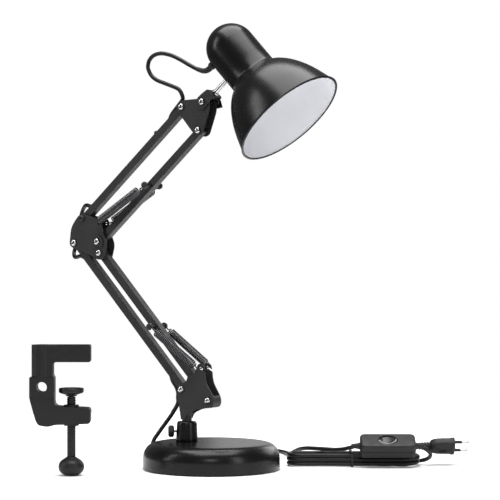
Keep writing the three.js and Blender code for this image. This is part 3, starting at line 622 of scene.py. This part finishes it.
bore = moved(turned([(0, 4), (2.1, 4), (2.1, 18), (0, 18)], 24), INTO_POST)
piece("post_socket", [turned(socket, 96)], "gloss_black", "base", ["base_socket"], cuts=[bore],
      matrix=AT_POST)
knob = [(0, 16.6), (4.4, 16.6), (5, 16.8), (6.6, 17.2), (7.5, 18), (7.8, 19.1), (7.8, 20.6), (7.8, 22.1),
        (7.5, 23.1), (6.6, 24), (5, 24.5), (3, 24.6), (2.4, 24.2), (0, 24.1)]
piece("thumb_knob", [turned(knob, 144, (12, 0.55, 17.5, 23.5))], "matte_black", "thumb", ["thumb_screw"],
      matrix=THUMB)
piece("thumb_stud", [threaded(1.42, 0.18, 0.8, 6.9, 16.8, 28)], "steel", "thumb", matrix=THUMB)

# ---------- post and brackets ----------
piece("post_rod", [turned([(0, 41.3), (5.6, 41.3), (POST_R, 42), (POST_R, 69), (0, 69)], 64)], "satin_black",
      "post_bracket", ["post"], matrix=AT_POST)
piece("post_head", [block(POST_X - 6, POST_X + 6, -8.2, 8.2, 68, 90)], "satin_black", "post_bracket",
      bevel=0.8)


def hole(at, r=PIN_HOLE_R):
    """Tool for a round hole through both plates of a bracket or both walls of a bar."""
    return rod(r, -14, 14, at[0], at[1], 28)


def bracket(name, node, body, outline, hollow, holes, hooks, extra=()):
    """Two plates joined by the web that the hollow leaves, with pin holes and spring hook holes."""
    cuts = [slab(rounded(hollow), -PLATE_IN, PLATE_IN)]
    cuts += [hole(h) for h in holes]
    cuts += [hole(h, 1.9) for h in hooks]
    return piece(name, [slab(rounded(outline), -PLATE_OUT, PLATE_OUT)], "satin_black", body, [node],
                 cuts=cuts + list(extra), bevel=0.35)


bracket("lower_plate", "lower_bracket", "post_bracket", [
    (-47.5, 98, 6), (-43.2, 82, 5), (-40.5, 63.5, 1), (-34.5, 63.5, 1), (-31, 71, 6), (-20, 76.5, 4),
    (-4, 79.5, 6), (8.5, 80.5, 8), (9.5, 92, 7), (-1.5, 111, 2), (-3.5, 119, 3), (-4, 128, 4),
    (-6.5, 136.5, 5), (-14, 137.5, 5), (-17.5, 130, 4), (-21, 123, 3), (-29.5, 121.5, 2), (-33, 112, 4),
    (-42, 111, 6)], [
    (-60, 60, 0), (-10, 60, 0), (-10, 70, 0), (-4, 82.5, 0), (1, 83, 0), (6.6, 84, 0), (7.6, 91, 0),
    (5.6, 95.5, 0), (14, 97, 0), (14, 150, 0), (-60, 150, 0)], [P1, P2], [LOWER_HOOK],
    [slab([(-10.2, 129.6), (-1, 124.2), (-1, 127.2), (-9.4, 132.2)], -14, 14)])
bracket("elbow_plate", "elbow_bracket", "elbow", [
    (-216.5, 291, 6), (-204, 285.5, 6), (-183, 279, 5), (-171, 272, 6), (-160.5, 272.5, 6),
    (-155.5, 292, 6), (-163.5, 313, 4), (-165, 326, 4), (-186, 331.5, 4), (-197, 335.5, 6),
    (-205, 328, 5), (-213.5, 316, 7)], [
    (-222, 262, 0), (-140, 262, 0), (-140, 350, 0), (-202, 350, 0), (-202, 332, 0), (-206, 323, 0),
    (-211.6, 314, 0), (-214.8, 299, 0), (-214.8, 286, 0), (-222, 280, 0)], [P3, P4, P5, P6],
    [UPPER_HOOK])
bracket("top_plate", "top_bracket", "top", [
    (-47, 468, 6), (-38, 457, 4), (-22.5, 438, 6), (-17, 432.5, 5), (-8.5, 434.5, 5), (-4, 447, 6),
    (2.5, 466, 5), (2.5, 481.5, 5), (-13, 481.5, 1), (-38, 480.5, 3), (-46, 477, 5)], [
    (-60, 440, 0), (-36, 440, 0), (-30, 420, 0), (10, 420, 0), (10, 472, 0), (4, 478, 0), (-13, 480, 0),
    (-33, 479, 0), (-33, 490, 0), (-60, 490, 0)], [P7, P8, P9], [])
tab = rounded([(-176, 289.8, 1), (-163, 288.8, 2), (-161, 297, 3), (-166, 304.5, 3), (-173, 306.5, 2),
               (-175.5, 297, 2)])
piece("elbow_lug", [slab(tab, -11.5, -10.3)], "satin_black", "elbow", ["elbow_tab"], cuts=[hole(P5)],
      bevel=0.3)


# ---------- bars, crossbars and springs ----------
def bar(name, a, b, body, slots, bore):
    """Rectangular tube with round ends; slots are cut in its outer wall for the cord."""
    length = math.dist(a, b)
    outline = []
    for x, start in ((length, -math.pi / 2), (0, math.pi / 2)):
        for k in range(13):
            angle = start + math.pi * k / 12
            outline.append((x + BAR_R * math.cos(angle), BAR_R * math.sin(angle)))
    past, y, z = BAR_R + 1, BAR_HALF - BAR_WALL, BAR_R - BAR_WALL
    cuts = [block(-past, length + past, -y, y, -z, z), hole((0, 0)), hole((length, 0))]
    cuts += [slab(rounded([(s, 0, 0), (e, 0, 0), (e, 7, 2), (s, 7, 2)]), -3.2, 3.2) for s, e in slots]
    if bore:
        cuts.append(hole((bore, 0), 2.9))
    matrix = Matrix.Translation((a[0], 0, a[1]))
    matrix = matrix @ Matrix.Rotation(-math.atan2(b[1] - a[1], b[0] - a[0]), 4, "Y")
    piece(name + "_tube", [slab(outline, -BAR_HALF, BAR_HALF)], "bar_black", body, [name], cuts=cuts,
          matrix=matrix, bevel=0.55)


bar("lower_bar_rear", P1, P3, "lower_rear", [(14, 42), (LOWER_L - 38, LOWER_L - 10)], 0)
bar("lower_bar_front", P2, P4, "lower_front", [], LOWER_CROSS_T)
bar("upper_bar_rear", P6, P7, "upper_rear", [(10, 38), (UPPER_L - 44, UPPER_L - 12)], 0)
bar("upper_bar_front", P5, P8, "upper_front", [], UPPER_CROSS_T)


bumper = [(0, 4.6), (3, 4.6), (3.1, 5.2), (3, 7.2), (2.5, 8.4), (1.4, 9.1), (0, 9.3)]
piece("bar_bumper", [turned(bumper, 40)], "matte_black", "upper_rear",
      matrix=Matrix.Translation(beside(P6, P7, 158, 0))
      @ Matrix.Rotation(-math.atan2(P7[1] - P6[1], P7[0] - P6[0]), 4, "Y"))


def crossbar(name, a, b, t, body):
    """Rod across the bar from a to b at t, with a groove near each end for a spring's eye."""
    half = [(0, -21), (3.2, -21), (3.9, -20.85), (4.2, -20.5), (4.3, -20), (4.3, -19.7), (4.1, -19.4),
            (2.75, -19.1), (2.6, -18.8), (2.6, -17.2), (2.75, -16.9), (2.6, -16.6), (2.6, 0)]
    profile = half + [(r, -y) for r, y in half[-2::-1]]
    x, _, z = beside(a, b, t, 0)
    piece(name + "_rod", [turned(profile, 40)], "satin_black", body, [name],
          matrix=Matrix.Translation((x, 0, z)) @ Z_TO_Y)
    return x, z


LOWER_CROSS = crossbar("lower_crossbar", P2, P4, LOWER_CROSS_T, "lower_front")
UPPER_CROSS = crossbar("upper_crossbar", P5, P8, UPPER_CROSS_T, "upper_front")


def spring(name, hook, cross, side, base, mover):
    """Tight coil with an eye round the crossbar's groove and a hook through the plate."""
    start = Vector((hook[0], side * 16.2, hook[1]))
    end = Vector((cross[0], side * 18, cross[1]))
    length = (end - start).length
    axis = (end - start).normalized()
    u = Vector((0, 1, 0))
    u = (u - axis * u.dot(axis)).normalized()
    v = axis.cross(u)
    radius, wire, pitch = 4.6, 1.0, 2.4
    points = [Vector((hook[0], side * 7, hook[1])), Vector((hook[0], side * 11.6, hook[1])),
              start + axis * 1.6, start + axis * 4]
    coil_from, coil_to = 8.0, length - 13.0
    turns = (coil_to - coil_from) / pitch
    count = int(turns * 20)
    for k in range(6):
        t = k / 6
        angle = -math.tau * 0.35 * (1 - t)
        r = radius * (0.25 + 0.75 * t)
        at = start + axis * (coil_from - 3 * (1 - t))
        points.append(at + (u * math.cos(angle) + v * math.sin(angle)) * r)
    for k in range(count + 1):
        angle = math.tau * turns * k / count
        at = start + axis * (coil_from + (coil_to - coil_from) * k / count)
        points.append(at + (u * math.cos(angle) + v * math.sin(angle)) * radius)
    last = math.tau * turns
    for k in range(1, 6):
        t = k / 6
        angle = last + math.tau * 0.35 * t
        r = radius * (1 - 0.85 * t)
        at = start + axis * (coil_to + 4 * t)
        points.append(at + (u * math.cos(angle) + v * math.sin(angle)) * r)
    eye_r = 3.75
    points.append(end - axis * 8)
    w = axis.cross(Vector((0, 1, 0))).normalized()
    for k in range(1, 22):
        angle = math.pi + math.tau * 0.93 * k / 21
        points.append(end + (axis * math.cos(angle) + w * math.sin(angle)) * eye_r)
    piece(name + "_coil", [swept(points, wire, 8)], "spring_steel",
          (base, mover, tuple(start + axis * 4), tuple(end - axis * 7)), [name], crisp=60)


for part, hook, cross, base, mover in (("lower", LOWER_HOOK, LOWER_CROSS, "post_bracket", "lower_front"),
                                       ("upper", UPPER_HOOK, UPPER_CROSS, "elbow", "upper_front")):
    spring("spring_" + part + "_front", hook, cross, -1, base, mover)
    spring("spring_" + part + "_back", hook, cross, 1, base, mover)

# ---------- pivot screws ----------
CROSS_REACH, CROSS_HALF = 2.3, 0.36


def pivot_screw(name, at, body, head, nodes, matrix=None, far=PIN_SEAT, slot="chrome"):
    """Pan-head cross screw with a dark washer, and a hex dome nut on the far side."""
    place = matrix or Matrix.Translation((at[0], 0, at[1]))
    y0 = -head
    seat = Matrix.Translation((0, y0, 0))
    dome = [(0, -3.15), (0.9, -3.12), (1.9, -2.98), (2.9, -2.6), (3.7, -1.95), (4.1, -1.3), (4.2, -0.7),
            (4.1, -0.25), (3.9, -0.2), (2.5, -0.2), (2.5, 0.4), (0, 0.4)]
    recess = [block(-CROSS_REACH, CROSS_REACH, -5, -1.7, -CROSS_HALF, CROSS_HALF),
              block(-CROSS_HALF, CROSS_HALF, -5, -1.7, -CROSS_REACH, CROSS_REACH)]
    head_part = moved(turned(dome, 48), seat @ Z_TO_Y)
    turn = Matrix.Rotation(at[0] * 0.37 + at[1], 4, "Y")
    piece(name + "_head", [head_part], slot, body, nodes, matrix=place @ turn,
          cuts=[moved(r, seat) for r in recess], crisp=30)
    washer = [(2.6, -0.2), (4.75, -0.2), (4.9, -0.1), (4.9, 0.05), (2.6, 0.05), (2.6, -0.2)]
    piece(name + "_washer", [moved(turned(washer, 48), seat @ Z_TO_Y)], "matte_black", body, matrix=place)
    piece(name + "_shank", [moved(turned([(0, y0 + 0.3), (2.5, y0 + 0.3), (2.5, far + 0.5), (0, far + 0.5)],
                                         28), Z_TO_Y)], "steel", body, matrix=place)
    piece(name + "_nut", [slab(oval(4.3, 4.3, 6), far, far + 2.5)], "chrome", body, matrix=place, bevel=0.25)
    cap = [(0, far + 2.3), (3.3, far + 2.3), (3.1, far + 3), (2.4, far + 3.6), (1.2, far + 3.95),
           (0, far + 4)]
    piece(name + "_nut_dome", [moved(turned(cap, 40), Z_TO_Y)], "chrome", body, matrix=place)


for pin, at, body, head in (
        ("pin_lower_rear", P1, "post_bracket", PIN_SEAT), ("pin_lower_front", P2, "post_bracket", PIN_SEAT),
        ("pin_elbow_rear", P3, "elbow", PIN_SEAT), ("pin_elbow_lower", P4, "elbow", PIN_SEAT),
        ("pin_elbow_front", P5, "elbow", PIN_SEAT + 1.5), ("pin_elbow_upper", P6, "elbow", PIN_SEAT),
        ("pin_top_rear", P7, "top", PIN_SEAT), ("pin_top_front", P8, "top", PIN_SEAT)):
    pivot_screw(pin, at, body, head, [pin], slot="satin_black" if at == P6 else "chrome")
pivot_screw("tilt", P9, "head_clamp", 12.2, ["tilt_screw"], matrix=TILT, far=13.8)

# ---------- head clamp ----------
strap = rounded([(-9.5, -5, 5), (-4, -9.5, 4), (9, -7, 3), (17, -6.5, 1.5), (17, 6.5, 1.5), (9, 8, 4),
                 (-5, 9, 6)])
stem_bore = moved(turned([(0, 12), (3.5, 12), (3.5, 20), (0, 20)], 32), Z_TO_X)
piece("clamp_strap", [slab(strap, -11.9, 11.9)], "satin_black", "head_clamp", ["head_clamp"],
      cuts=[block(-20, 15.4, -10.4, 10.4, -20, 20), hole((0, 0)), stem_bore], matrix=TILT, bevel=0.35)
clip = rounded([(-5, -5, 3), (2, -12, 2), (9, -16.5, 1), (12.5, -9, 3), (14, 5.5, 2), (5, 6, 3),
                (-5, 5, 3)])
piece("tilt_spring_clip", [slab(clip, 12.2, 13.5)], "chrome", "head_clamp", ["tilt_clip"],
      cuts=[hole((0, 0))], matrix=TILT, bevel=0.25)

# ---------- head ----------
bell = [(NECK_R, -49), (33, -50.9), (34.4, -53.2), (38.2, -56.3), (43, -60.3), (47.5, -65.2),
        (51.6, -70.5), (55.4, -76.4), (58.8, -82.6), (62.1, -89.3), (65, -96.3), (67.7, -103.9),
        (70, -111.6), (72.1, -118.6), (73.6, -124.6)]
skin = [(NECK_R * math.sin(math.pi / 2 * k / 14), NECK_R * math.cos(math.pi / 2 * k / 14))
        for k in range(15)] + [(NECK_R, -16), (NECK_R, -33)] + bell


def inset(profile, by):
    """Profile moved inward, with its dome shrunk to match."""
    return [(max(0.0, r - by), z * (1 - by / NECK_R) if z > 0 else z) for r, z in profile]


rolled = [(74.4, -125.2), (75.1, -125.5), (75.5, -126.1), (75.4, -126.7), (74.9, -127.1),
          (74.2, -127.3), (73.1, -127.3), (72.5, -126.9), (72.4, -126.2)]
outer_shell = skin + rolled + inset(skin, 0.5)[::-1]
SHADE_HOLES = [moved(turned([(0, 24), (r, 24), (r, 42), (0, 42)], 32),
                     Matrix.Translation((0, 0, z)) @ Z_TO_MINUS_X)
               for r, z in ((3.5, -STEM_DOWN), (3.6, GLAND_UP))]
piece("shade_shell", [turned(outer_shell, 160)], "gloss_black", "head", ["shade"], cuts=SHADE_HOLES,
      matrix=HEAD, crisp=28)
inner_edge = [(72.3, -126.1), (71.9, -126.3), (71.6, -125.9)]
lining = inset(skin[1:], 0.56) + inner_edge + inset(skin[1:], 1.0)[::-1]
lining = [(0, NECK_R - 0.56)] + lining + [(0, NECK_R - 1.0)]
piece("shade_lining", [turned(lining, 160)], "white_plastic", "head", matrix=HEAD, cuts=SHADE_HOLES,
      finish="white_paint", crisp=28)
STEM = HEAD @ Matrix.Translation((0, 0, -STEM_DOWN)) @ Z_TO_MINUS_X
stem = [(0, 23.4), (2.7, 23.4), (3.2, 23.9), (3.2, 54.1), (4.4, 54.1), (4.8, 54.5), (4.8, 55.9),
        (4.4, 56.3), (3.3, 56.4), (3.3, 58.6), (4.3, 58.6), (4.8, 59), (4.8, 60.8), (4.4, 61.2), (0, 61.2)]
piece("stem_rod", [turned(stem, 64)], "chrome", "head", ["stem"], matrix=STEM)
piece("stem_nut", [moved(slab(oval(6, 6, 6), 26.6, 30.6), Y_TO_Z)], "steel", "head", matrix=STEM, bevel=0.3)
GLAND = HEAD @ Matrix.Translation((0, 0, GLAND_UP)) @ Z_TO_MINUS_X
gland = [(2.95, 28.1), (4.4, 28.1), (4.6, 28.4), (4.6, 29.6), (3.4, 29.8), (3.4, 32.9), (5, 32.9),
         (5.2, 33.3), (5.2, 36.8), (4.9, 37.4), (4.4, 37.8), (4.2, 38.6), (2.95, 38.6), (2.95, 28.1)]
piece("gland_bush", [turned(gland, 48)], "matte_black", "head", ["cord_gland"], matrix=GLAND)
sleeve_route, _ = smooth_path([on_gland(38.2), on_gland(41), (-7.2, 0, 518.6), (-12.5, 0, 518.4),
                               (-21.5, 0, 521.2)], 1.6)
piece("gland_sleeve", [swept(sleeve_route, [4.1 - 1.15 * k / (len(sleeve_route) - 1)
                                            for k in range(len(sleeve_route))], 32)],
      "matte_black", "head", crisp=50)
holder = [(0, -2), (30.6, -2), (31.1, -2.4), (31.1, -4.6), (30.6, -5), (20.8, -5), (20, -5.8), (20, -20),
          (19.7, -22), (19.6, -24), (19.5, -26), (19.3, -30), (18.7, -41), (18.3, -42), (16.2, -42),
          (15.6, -41.4), (15.6, -12), (0, -12)]
piece("lamp_socket", [turned(holder, 96, (24, 0.5, -38, -20))], "white_plastic", "head", ["lampholder"],
      matrix=HEAD, cuts=[block(-32, -15, -4, 4, -6, 0)])
piece("screw_thread", [threaded(13.5, 0.9, 3.62, -39, -13.2, 56, core=0.3, steps=10)], "brass", "head",
      ["screw_shell"], matrix=HEAD)
contact = [(0, -12.3), (5, -12.3), (5, -13.1), (4.6, -13.5), (3, -15.2), (1.6, -16.1), (0, -16.4)]
piece("contact_spring", [turned(contact, 40)], "brass", "head", ["centre_contact"], matrix=HEAD)

# ---------- tie round the hank ----------
TIE = floor_matrix(183.3, HANK_BACK, 0)
LOOP = Matrix.Rotation(math.pi / 2, 4, "Z")
tie_outer = rounded([(-20.7, 0.1, 3.4), (20.7, 0.1, 3.4), (20.7, 19.7, 3.4), (-20.7, 19.7, 3.4)], 8)
tie_inner = rounded([(-19.8, 0.8, 2.9), (19.8, 0.8, 2.9), (19.8, 19, 2.9), (-19.8, 19, 2.9)], 8)
piece("tie_band", [slab(tie_outer, -3, 0)], "matte_black", "base", ["hank_tie"],
      cuts=[slab(tie_inner, -6, 3)], matrix=TIE @ LOOP, bevel=0.25)

# ---------- switch ----------
SWITCH_LEVEL = floor_matrix(SWITCH_SIDE, SWITCH_BACK, SWITCH_Z)
SWITCH = SWITCH_LEVEL @ Matrix.Rotation(math.pi / 6, 4, "X")


def cushion(lx, ly, z0, z1, corner, roll):
    """Rounded box: a rounded outline in XY stacked with its edges rolled over at z0 and z1."""
    def ring(z, by):
        r = max(0.5, corner - by)
        return [(x, y, z) for x, y in rounded([(-lx + by, -ly + by, r), (lx - by, -ly + by, r),
                                               (lx - by, ly - by, r), (-lx + by, ly - by, r)], 8)]
    rings = []
    for z, up, by in ((z0, 1, roll[0]), (z1, -1, roll[1])):
        for k in range(6):
            a = math.pi / 2 * k / 5
            rings.append(ring(z + up * by * (1 - math.sin(a)), by * (1 - math.cos(a))))
    ordered = sorted(rings, key=lambda q: q[0][2])
    n = len(ordered[0])
    verts = [p for q in ordered for p in q]
    faces = [tuple(reversed(range(n))), tuple(range((len(ordered) - 1) * n, len(ordered) * n))]
    for k in range(len(ordered) - 1):
        faces += [(k * n + i, k * n + (i + 1) % n, (k + 1) * n + (i + 1) % n, (k + 1) * n + i)
                  for i in range(n)]
    return verts, faces


CORD_HOLE = moved(turned([(0, -45), (3, -45), (3, 45), (0, 45)], 32), Z_TO_X)
ROCKER_AT = 3.6
well = moved(slab(oval(13, 9.8, 56), 5, 12), Y_TO_Z)
piece("switch_lower_shell", [cushion(36.3, 15, -10, -0.15, 7, (3, 0.4))], "matte_black", "base",
      ["switch_base"], cuts=[block(-28, 28, -12, 12, -8, 1), CORD_HOLE], matrix=SWITCH, crisp=32)
piece("switch_upper_shell", [cushion(36.3, 15, 0.15, 10, 7, (0.4, 3))], "matte_black", "base",
      ["switch_lid"], cuts=[block(-28, 28, -12, 12, -1, 7.6), CORD_HOLE, well], matrix=SWITCH, crisp=32)


def rocker_shape():
    """Oval rocker whose top is a shallow valley, with a rolled edge."""
    columns, rows = 48, 12
    verts, faces = [], []
    for k in range(rows + 1):
        t = k / rows
        for i in range(columns):
            a = math.tau * i / columns
            x, y = 12.4 * t * math.cos(a), 9.2 * t * math.sin(a)
            top = 49.4 - math.sqrt(40 ** 2 - x ** 2) - ROCKER_AT
            top -= 0.9 * max(0.0, (t - 0.82) / 0.18) ** 2
            verts.append((x, y, top))
    for k in range(rows):
        for i in range(columns):
            j = (i + 1) % columns
            faces.append((k * columns + i, k * columns + j, (k + 1) * columns + j, (k + 1) * columns + i))
    bottom = len(verts)
    for i in range(columns):
        a = math.tau * i / columns
        verts.append((12.4 * math.cos(a), 9.2 * math.sin(a), 1.2))
    for i in range(columns):
        j = (i + 1) % columns
        faces.append((rows * columns + i, rows * columns + j, bottom + j, bottom + i))
    faces.append(tuple(bottom + i for i in reversed(range(columns))))
    return verts, faces


ROCKER = SWITCH @ Matrix.Translation((0, 0, ROCKER_AT)) @ Matrix.Rotation(-0.06, 4, "Y")
piece("rocker_cap", [rocker_shape()], "gloss_plastic", "rocker", ["switch_rocker"], matrix=ROCKER,
      crisp=50)
piece("rocker_axle", [rod(1.6, -11.4, 11.4, 0, 0, 24)], "gloss_plastic", "rocker", matrix=ROCKER,
      crisp=50)
for end, turn in (("left", math.pi), ("right", 0.0)):
    sleeve = [(3.3, 35.9), (4.5, 35.9), (4.7, 36.2), (4.6, 37.4), (4.1, 38), (3.75, 40.5), (3.3, 43.5),
              (2.95, 46.5), (2.8, 47.6), (2.8, 36.5), (3.3, 35.9)]
    piece("switch_relief_" + end, [turned(sleeve, 40)], "matte_black", "base",
          matrix=SWITCH_LEVEL @ Matrix.Rotation(turn, 4, "Z") @ Z_TO_X)

# ---------- plug ----------
PLUG = floor_matrix(PLUG_SIDE, PLUG_BACK, PLUG_Z) @ Matrix.Rotation(-0.7, 4, "X")
PIN_OFFSET = 9.3
ribs = [(2.9, 0), (3.6, 0)]
for k in range(5):
    z, r = k * 3.6, 4.6 + k * 0.25
    ribs += [(r - 0.8, z), (r - 0.15, z + 0.15), (r, z + 0.4), (r, z + 2.1), (r - 0.15, z + 2.4),
             (r - 0.75, z + 2.6), (r - 0.8, z + 3.5)]
ribs += [(5.3, 18.1), (5, 18.6), (2.9, 18.6), (2.9, 0)]
piece("plug_strain_relief", [turned(ribs, 48)], "matte_black", "base", ["plug_relief"],
      matrix=PLUG @ Z_TO_X)


def plug_shape():
    """Body lofted from an oval neck to a broad flange, along X."""
    stations = [(19, 5.6, 6.4), (20, 6.6, 8.0), (23, 7.2, 10.2), (28, 7.5, 11.7), (34, 7.5, 12.3),
                (44.4, 7.5, 12.4), (45.2, 7.6, 12.4), (45.6, 8.3, 12.45), (46.2, 8.6, 12.5),
                (50.2, 8.6, 12.5), (50.8, 8.3, 12.3), (51, 7.9, 11.9)]
    verts, faces, n = [], [], 56
    for x, hz, hy in stations:
        for k in range(n):
            a = math.tau * k / n
            c, s = math.cos(a), math.sin(a)
            verts.append((x, hy * math.copysign(abs(c) ** 0.62, c), hz * math.copysign(abs(s) ** 0.62, s)))
    for r in range(len(stations) - 1):
        faces += [(r * n + k, (r + 1) * n + k, (r + 1) * n + (k + 1) % n, r * n + (k + 1) % n)
                  for k in range(n)]
    faces.append(tuple(range(n)))
    faces.append(tuple(reversed(range((len(stations) - 1) * n, len(stations) * n))))
    return verts, faces


pin_bore = turned([(0, 40), (2.3, 40), (2.3, 54), (0, 54)], 28)
pin_bores = [moved(pin_bore, Matrix.Translation((0, y, 0)) @ Z_TO_X) for y in (-PIN_OFFSET, PIN_OFFSET)]
grips = [moved(slab(oval(5.2, 3.6, 40, 35, 0), -3, 3),
               Matrix(((1, 0, 0, 0), (0, 0, 1, 0), (0, 1, 0, z), (0, 0, 0, 1)))) for z in (-9.6, 9.6)]
piece("plug_shell", [plug_shape()], "matte_black", "base", ["plug_body"], cuts=pin_bores + grips,
      matrix=PLUG, crisp=28)
for label, node, y in (("left", "plug_pin_1", -PIN_OFFSET), ("right", "plug_pin_2", PIN_OFFSET)):
    at = PLUG @ Matrix.Translation((0, y, 0)) @ Z_TO_X
    tip = [(0, 41), (1.8, 41), (1.8, 60), (2, 60.3), (2, 68.4), (1.8, 69.2), (1.2, 69.8), (0, 70)]
    piece("plug_pin_" + label, [turned(tip, 32)], "chrome", "base", [node], matrix=at)
    sleeve = [(1.85, 50), (2.05, 50), (2.05, 59.9), (1.85, 60.1), (1.85, 50)]
    piece("plug_pin_sleeve_" + label, [turned(sleeve, 32)], "matte_black", "base", matrix=at)

# ---------- table clamp ----------
CLAMP = floor_matrix(-213.2, -70, 0)
SCREW_X = 36.4
casting = rounded([
    (-8, 70, 6), (-4.4, 64, 5), (8, 62, 4), (16, 64.6, 4), (61, 66, 4), (61, 85.4, 4), (16, 88, 7),
    (15.4, 101, 3), (15.6, 124, 2), (13.8, 127, 2), (13.8, 143.5, 5), (61, 143.5, 2), (61, 165, 2),
    (1, 165, 0), (1, 125, 0), (-15.6, 124, 2), (-15.6, 98, 4)])


def upright(r, z0, z1, x):
    """Round boss or bore along Z."""
    return moved(turned([(0, z0), (r, z0), (r, z1), (0, z1)], 40), Matrix.Translation((x, 0, 0)))


piece("clamp_casting", [slab(casting, -12.2, 12.2)], "clamp_black", "clamp", ["clamp_frame"],
      joins=[block(-15.6, 15.6, -13.2, 13.2, 98.5, 124), upright(13.8, 120, 165, 0),
             upright(9.5, 63, 89, SCREW_X)],
      cuts=[upright(6.8, 120, 170, 0), rod(6.6, -20, 20, 0, 112, 40), upright(6.1, 60, 95, SCREW_X),
            block(18, 58, -9, 9, 151, 170)], matrix=CLAMP, bevel=0.9)
SCREW = CLAMP @ Matrix.Translation((SCREW_X, 0, 0))
piece("clamp_spindle", [threaded(5.1, 0.6, 3.0, 18, 99.2, 40)], "clamp_black", "clamp_screw",
      ["clamp_screw"], matrix=SCREW)
piece("clamp_spindle_neck", [turned([(0, 98.8), (3.4, 98.8), (3.4, 104.4), (0, 104.4)], 32)],
      "clamp_black", "clamp_screw", matrix=SCREW)
grip = [(0, 0), (5.5, 0.2), (9.5, 1.2), (12.6, 3.1), (14.9, 5.6), (16.1, 8.4), (16.4, 11), (16.1, 13.6),
        (15, 16.3), (13, 18.8), (10.4, 20.8), (8.4, 21.8), (7.6, 22.4), (7.2, 23), (0, 23)]
piece("clamp_knob", [turned(grip, 144)], "clamp_black", "clamp_screw", matrix=SCREW, crisp=50)
disc = [(3.8, 100.2), (6.4, 100.2), (7, 100.7), (7.8, 102), (11.5, 103.1), (14.4, 104.1), (15.4, 105),
        (15.8, 106.4), (15.8, 108.9), (15.5, 109.8), (14.8, 110.3), (13.8, 110.2), (12.4, 109.4),
        (6, 108.9), (0, 108.8), (0, 104.8), (3.8, 104.8), (3.8, 100.2)]
piece("clamp_pad_disc", [turned(disc, 96)], "clamp_black", "clamp_pad", ["clamp_pad"], matrix=SCREW)

# ---------- CAD nodes that stay, in better materials ----------
for node, slot in (("base_weight", "iron"), ("base_bolt", "steel")):
    kept = frame["nodes"][node]
    kept.data.materials.clear()
    kept.data.materials.append(FINISH[slot])

declare_cords()

# ---------- studio ----------
FLOOR_R = 0.9
rim = [(x, y, 0) for x, y in oval(FLOOR_R, FLOOR_R, 96)]
floor_mesh = bpy.data.meshes.new("studio_floor")
floor_mesh.from_pydata(rim, [], [tuple(range(96))])
floor = bpy.data.objects.new("studio_floor", floor_mesh)
scene.collection.objects.link(floor)
floor.data.materials.append(FINISH["floor_white"])


def soft_box(name, place, aim, width, height, power):
    """Rectangular area light at a place, facing its aim. Lengths here are metres."""
    data = bpy.data.lights.new(name, "AREA")
    data.shape, data.size, data.size_y, data.energy = "RECTANGLE", width, height, power
    obj = bpy.data.objects.new(name, data)
    scene.collection.objects.link(obj)
    obj.location = place
    obj.rotation_euler = (Vector(aim) - Vector(place)).to_track_quat("-Z", "Y").to_euler()


soft_box("top_box", (0.1, -0.1, 2.2), (0, 0, 0.2), 2.0, 2.0, 95)
soft_box("left_box", (-1.9, -1.5, 1.3), (0, 0, 0.35), 0.5, 1.8, 22)
soft_box("right_box", (2.3, -0.6, 0.9), (0.05, 0, 0.3), 0.5, 1.6, 14)
soft_box("front_box", (1.6, -2.9, 1.5), (0, 0, 0.3), 1.0, 0.8, 16)
soft_box("back_box", (0.4, 2.2, 1.0), (0, 0, 0.3), 1.6, 0.9, 12)
soft_box("low_back_box", (-0.45, 2.0, 0.45), (0, 0, 0.1), 1.3, 0.8, 2.2)

world = bpy.data.worlds.new("studio")
scene.world = world
world.use_nodes = True
tree = world.node_tree
background = tree.nodes["Background"]
background.inputs["Color"].default_value = (1, 1, 1, 1)
background.inputs["Strength"].default_value = 0.16
backdrop = tree.nodes.new("ShaderNodeBackground")
backdrop.inputs["Color"].default_value = (1, 1, 1, 1)
backdrop.inputs["Strength"].default_value = 1.0
pick = tree.nodes.new("ShaderNodeMixShader")
tree.links.new(tree.nodes.new("ShaderNodeLightPath").outputs["Is Camera Ray"], pick.inputs["Fac"])
tree.links.new(background.outputs["Background"], pick.inputs[1])
tree.links.new(backdrop.outputs["Background"], pick.inputs[2])
tree.links.new(pick.outputs["Shader"], tree.nodes["World Output"].inputs["Surface"])
scene.view_settings.view_transform = "Standard"
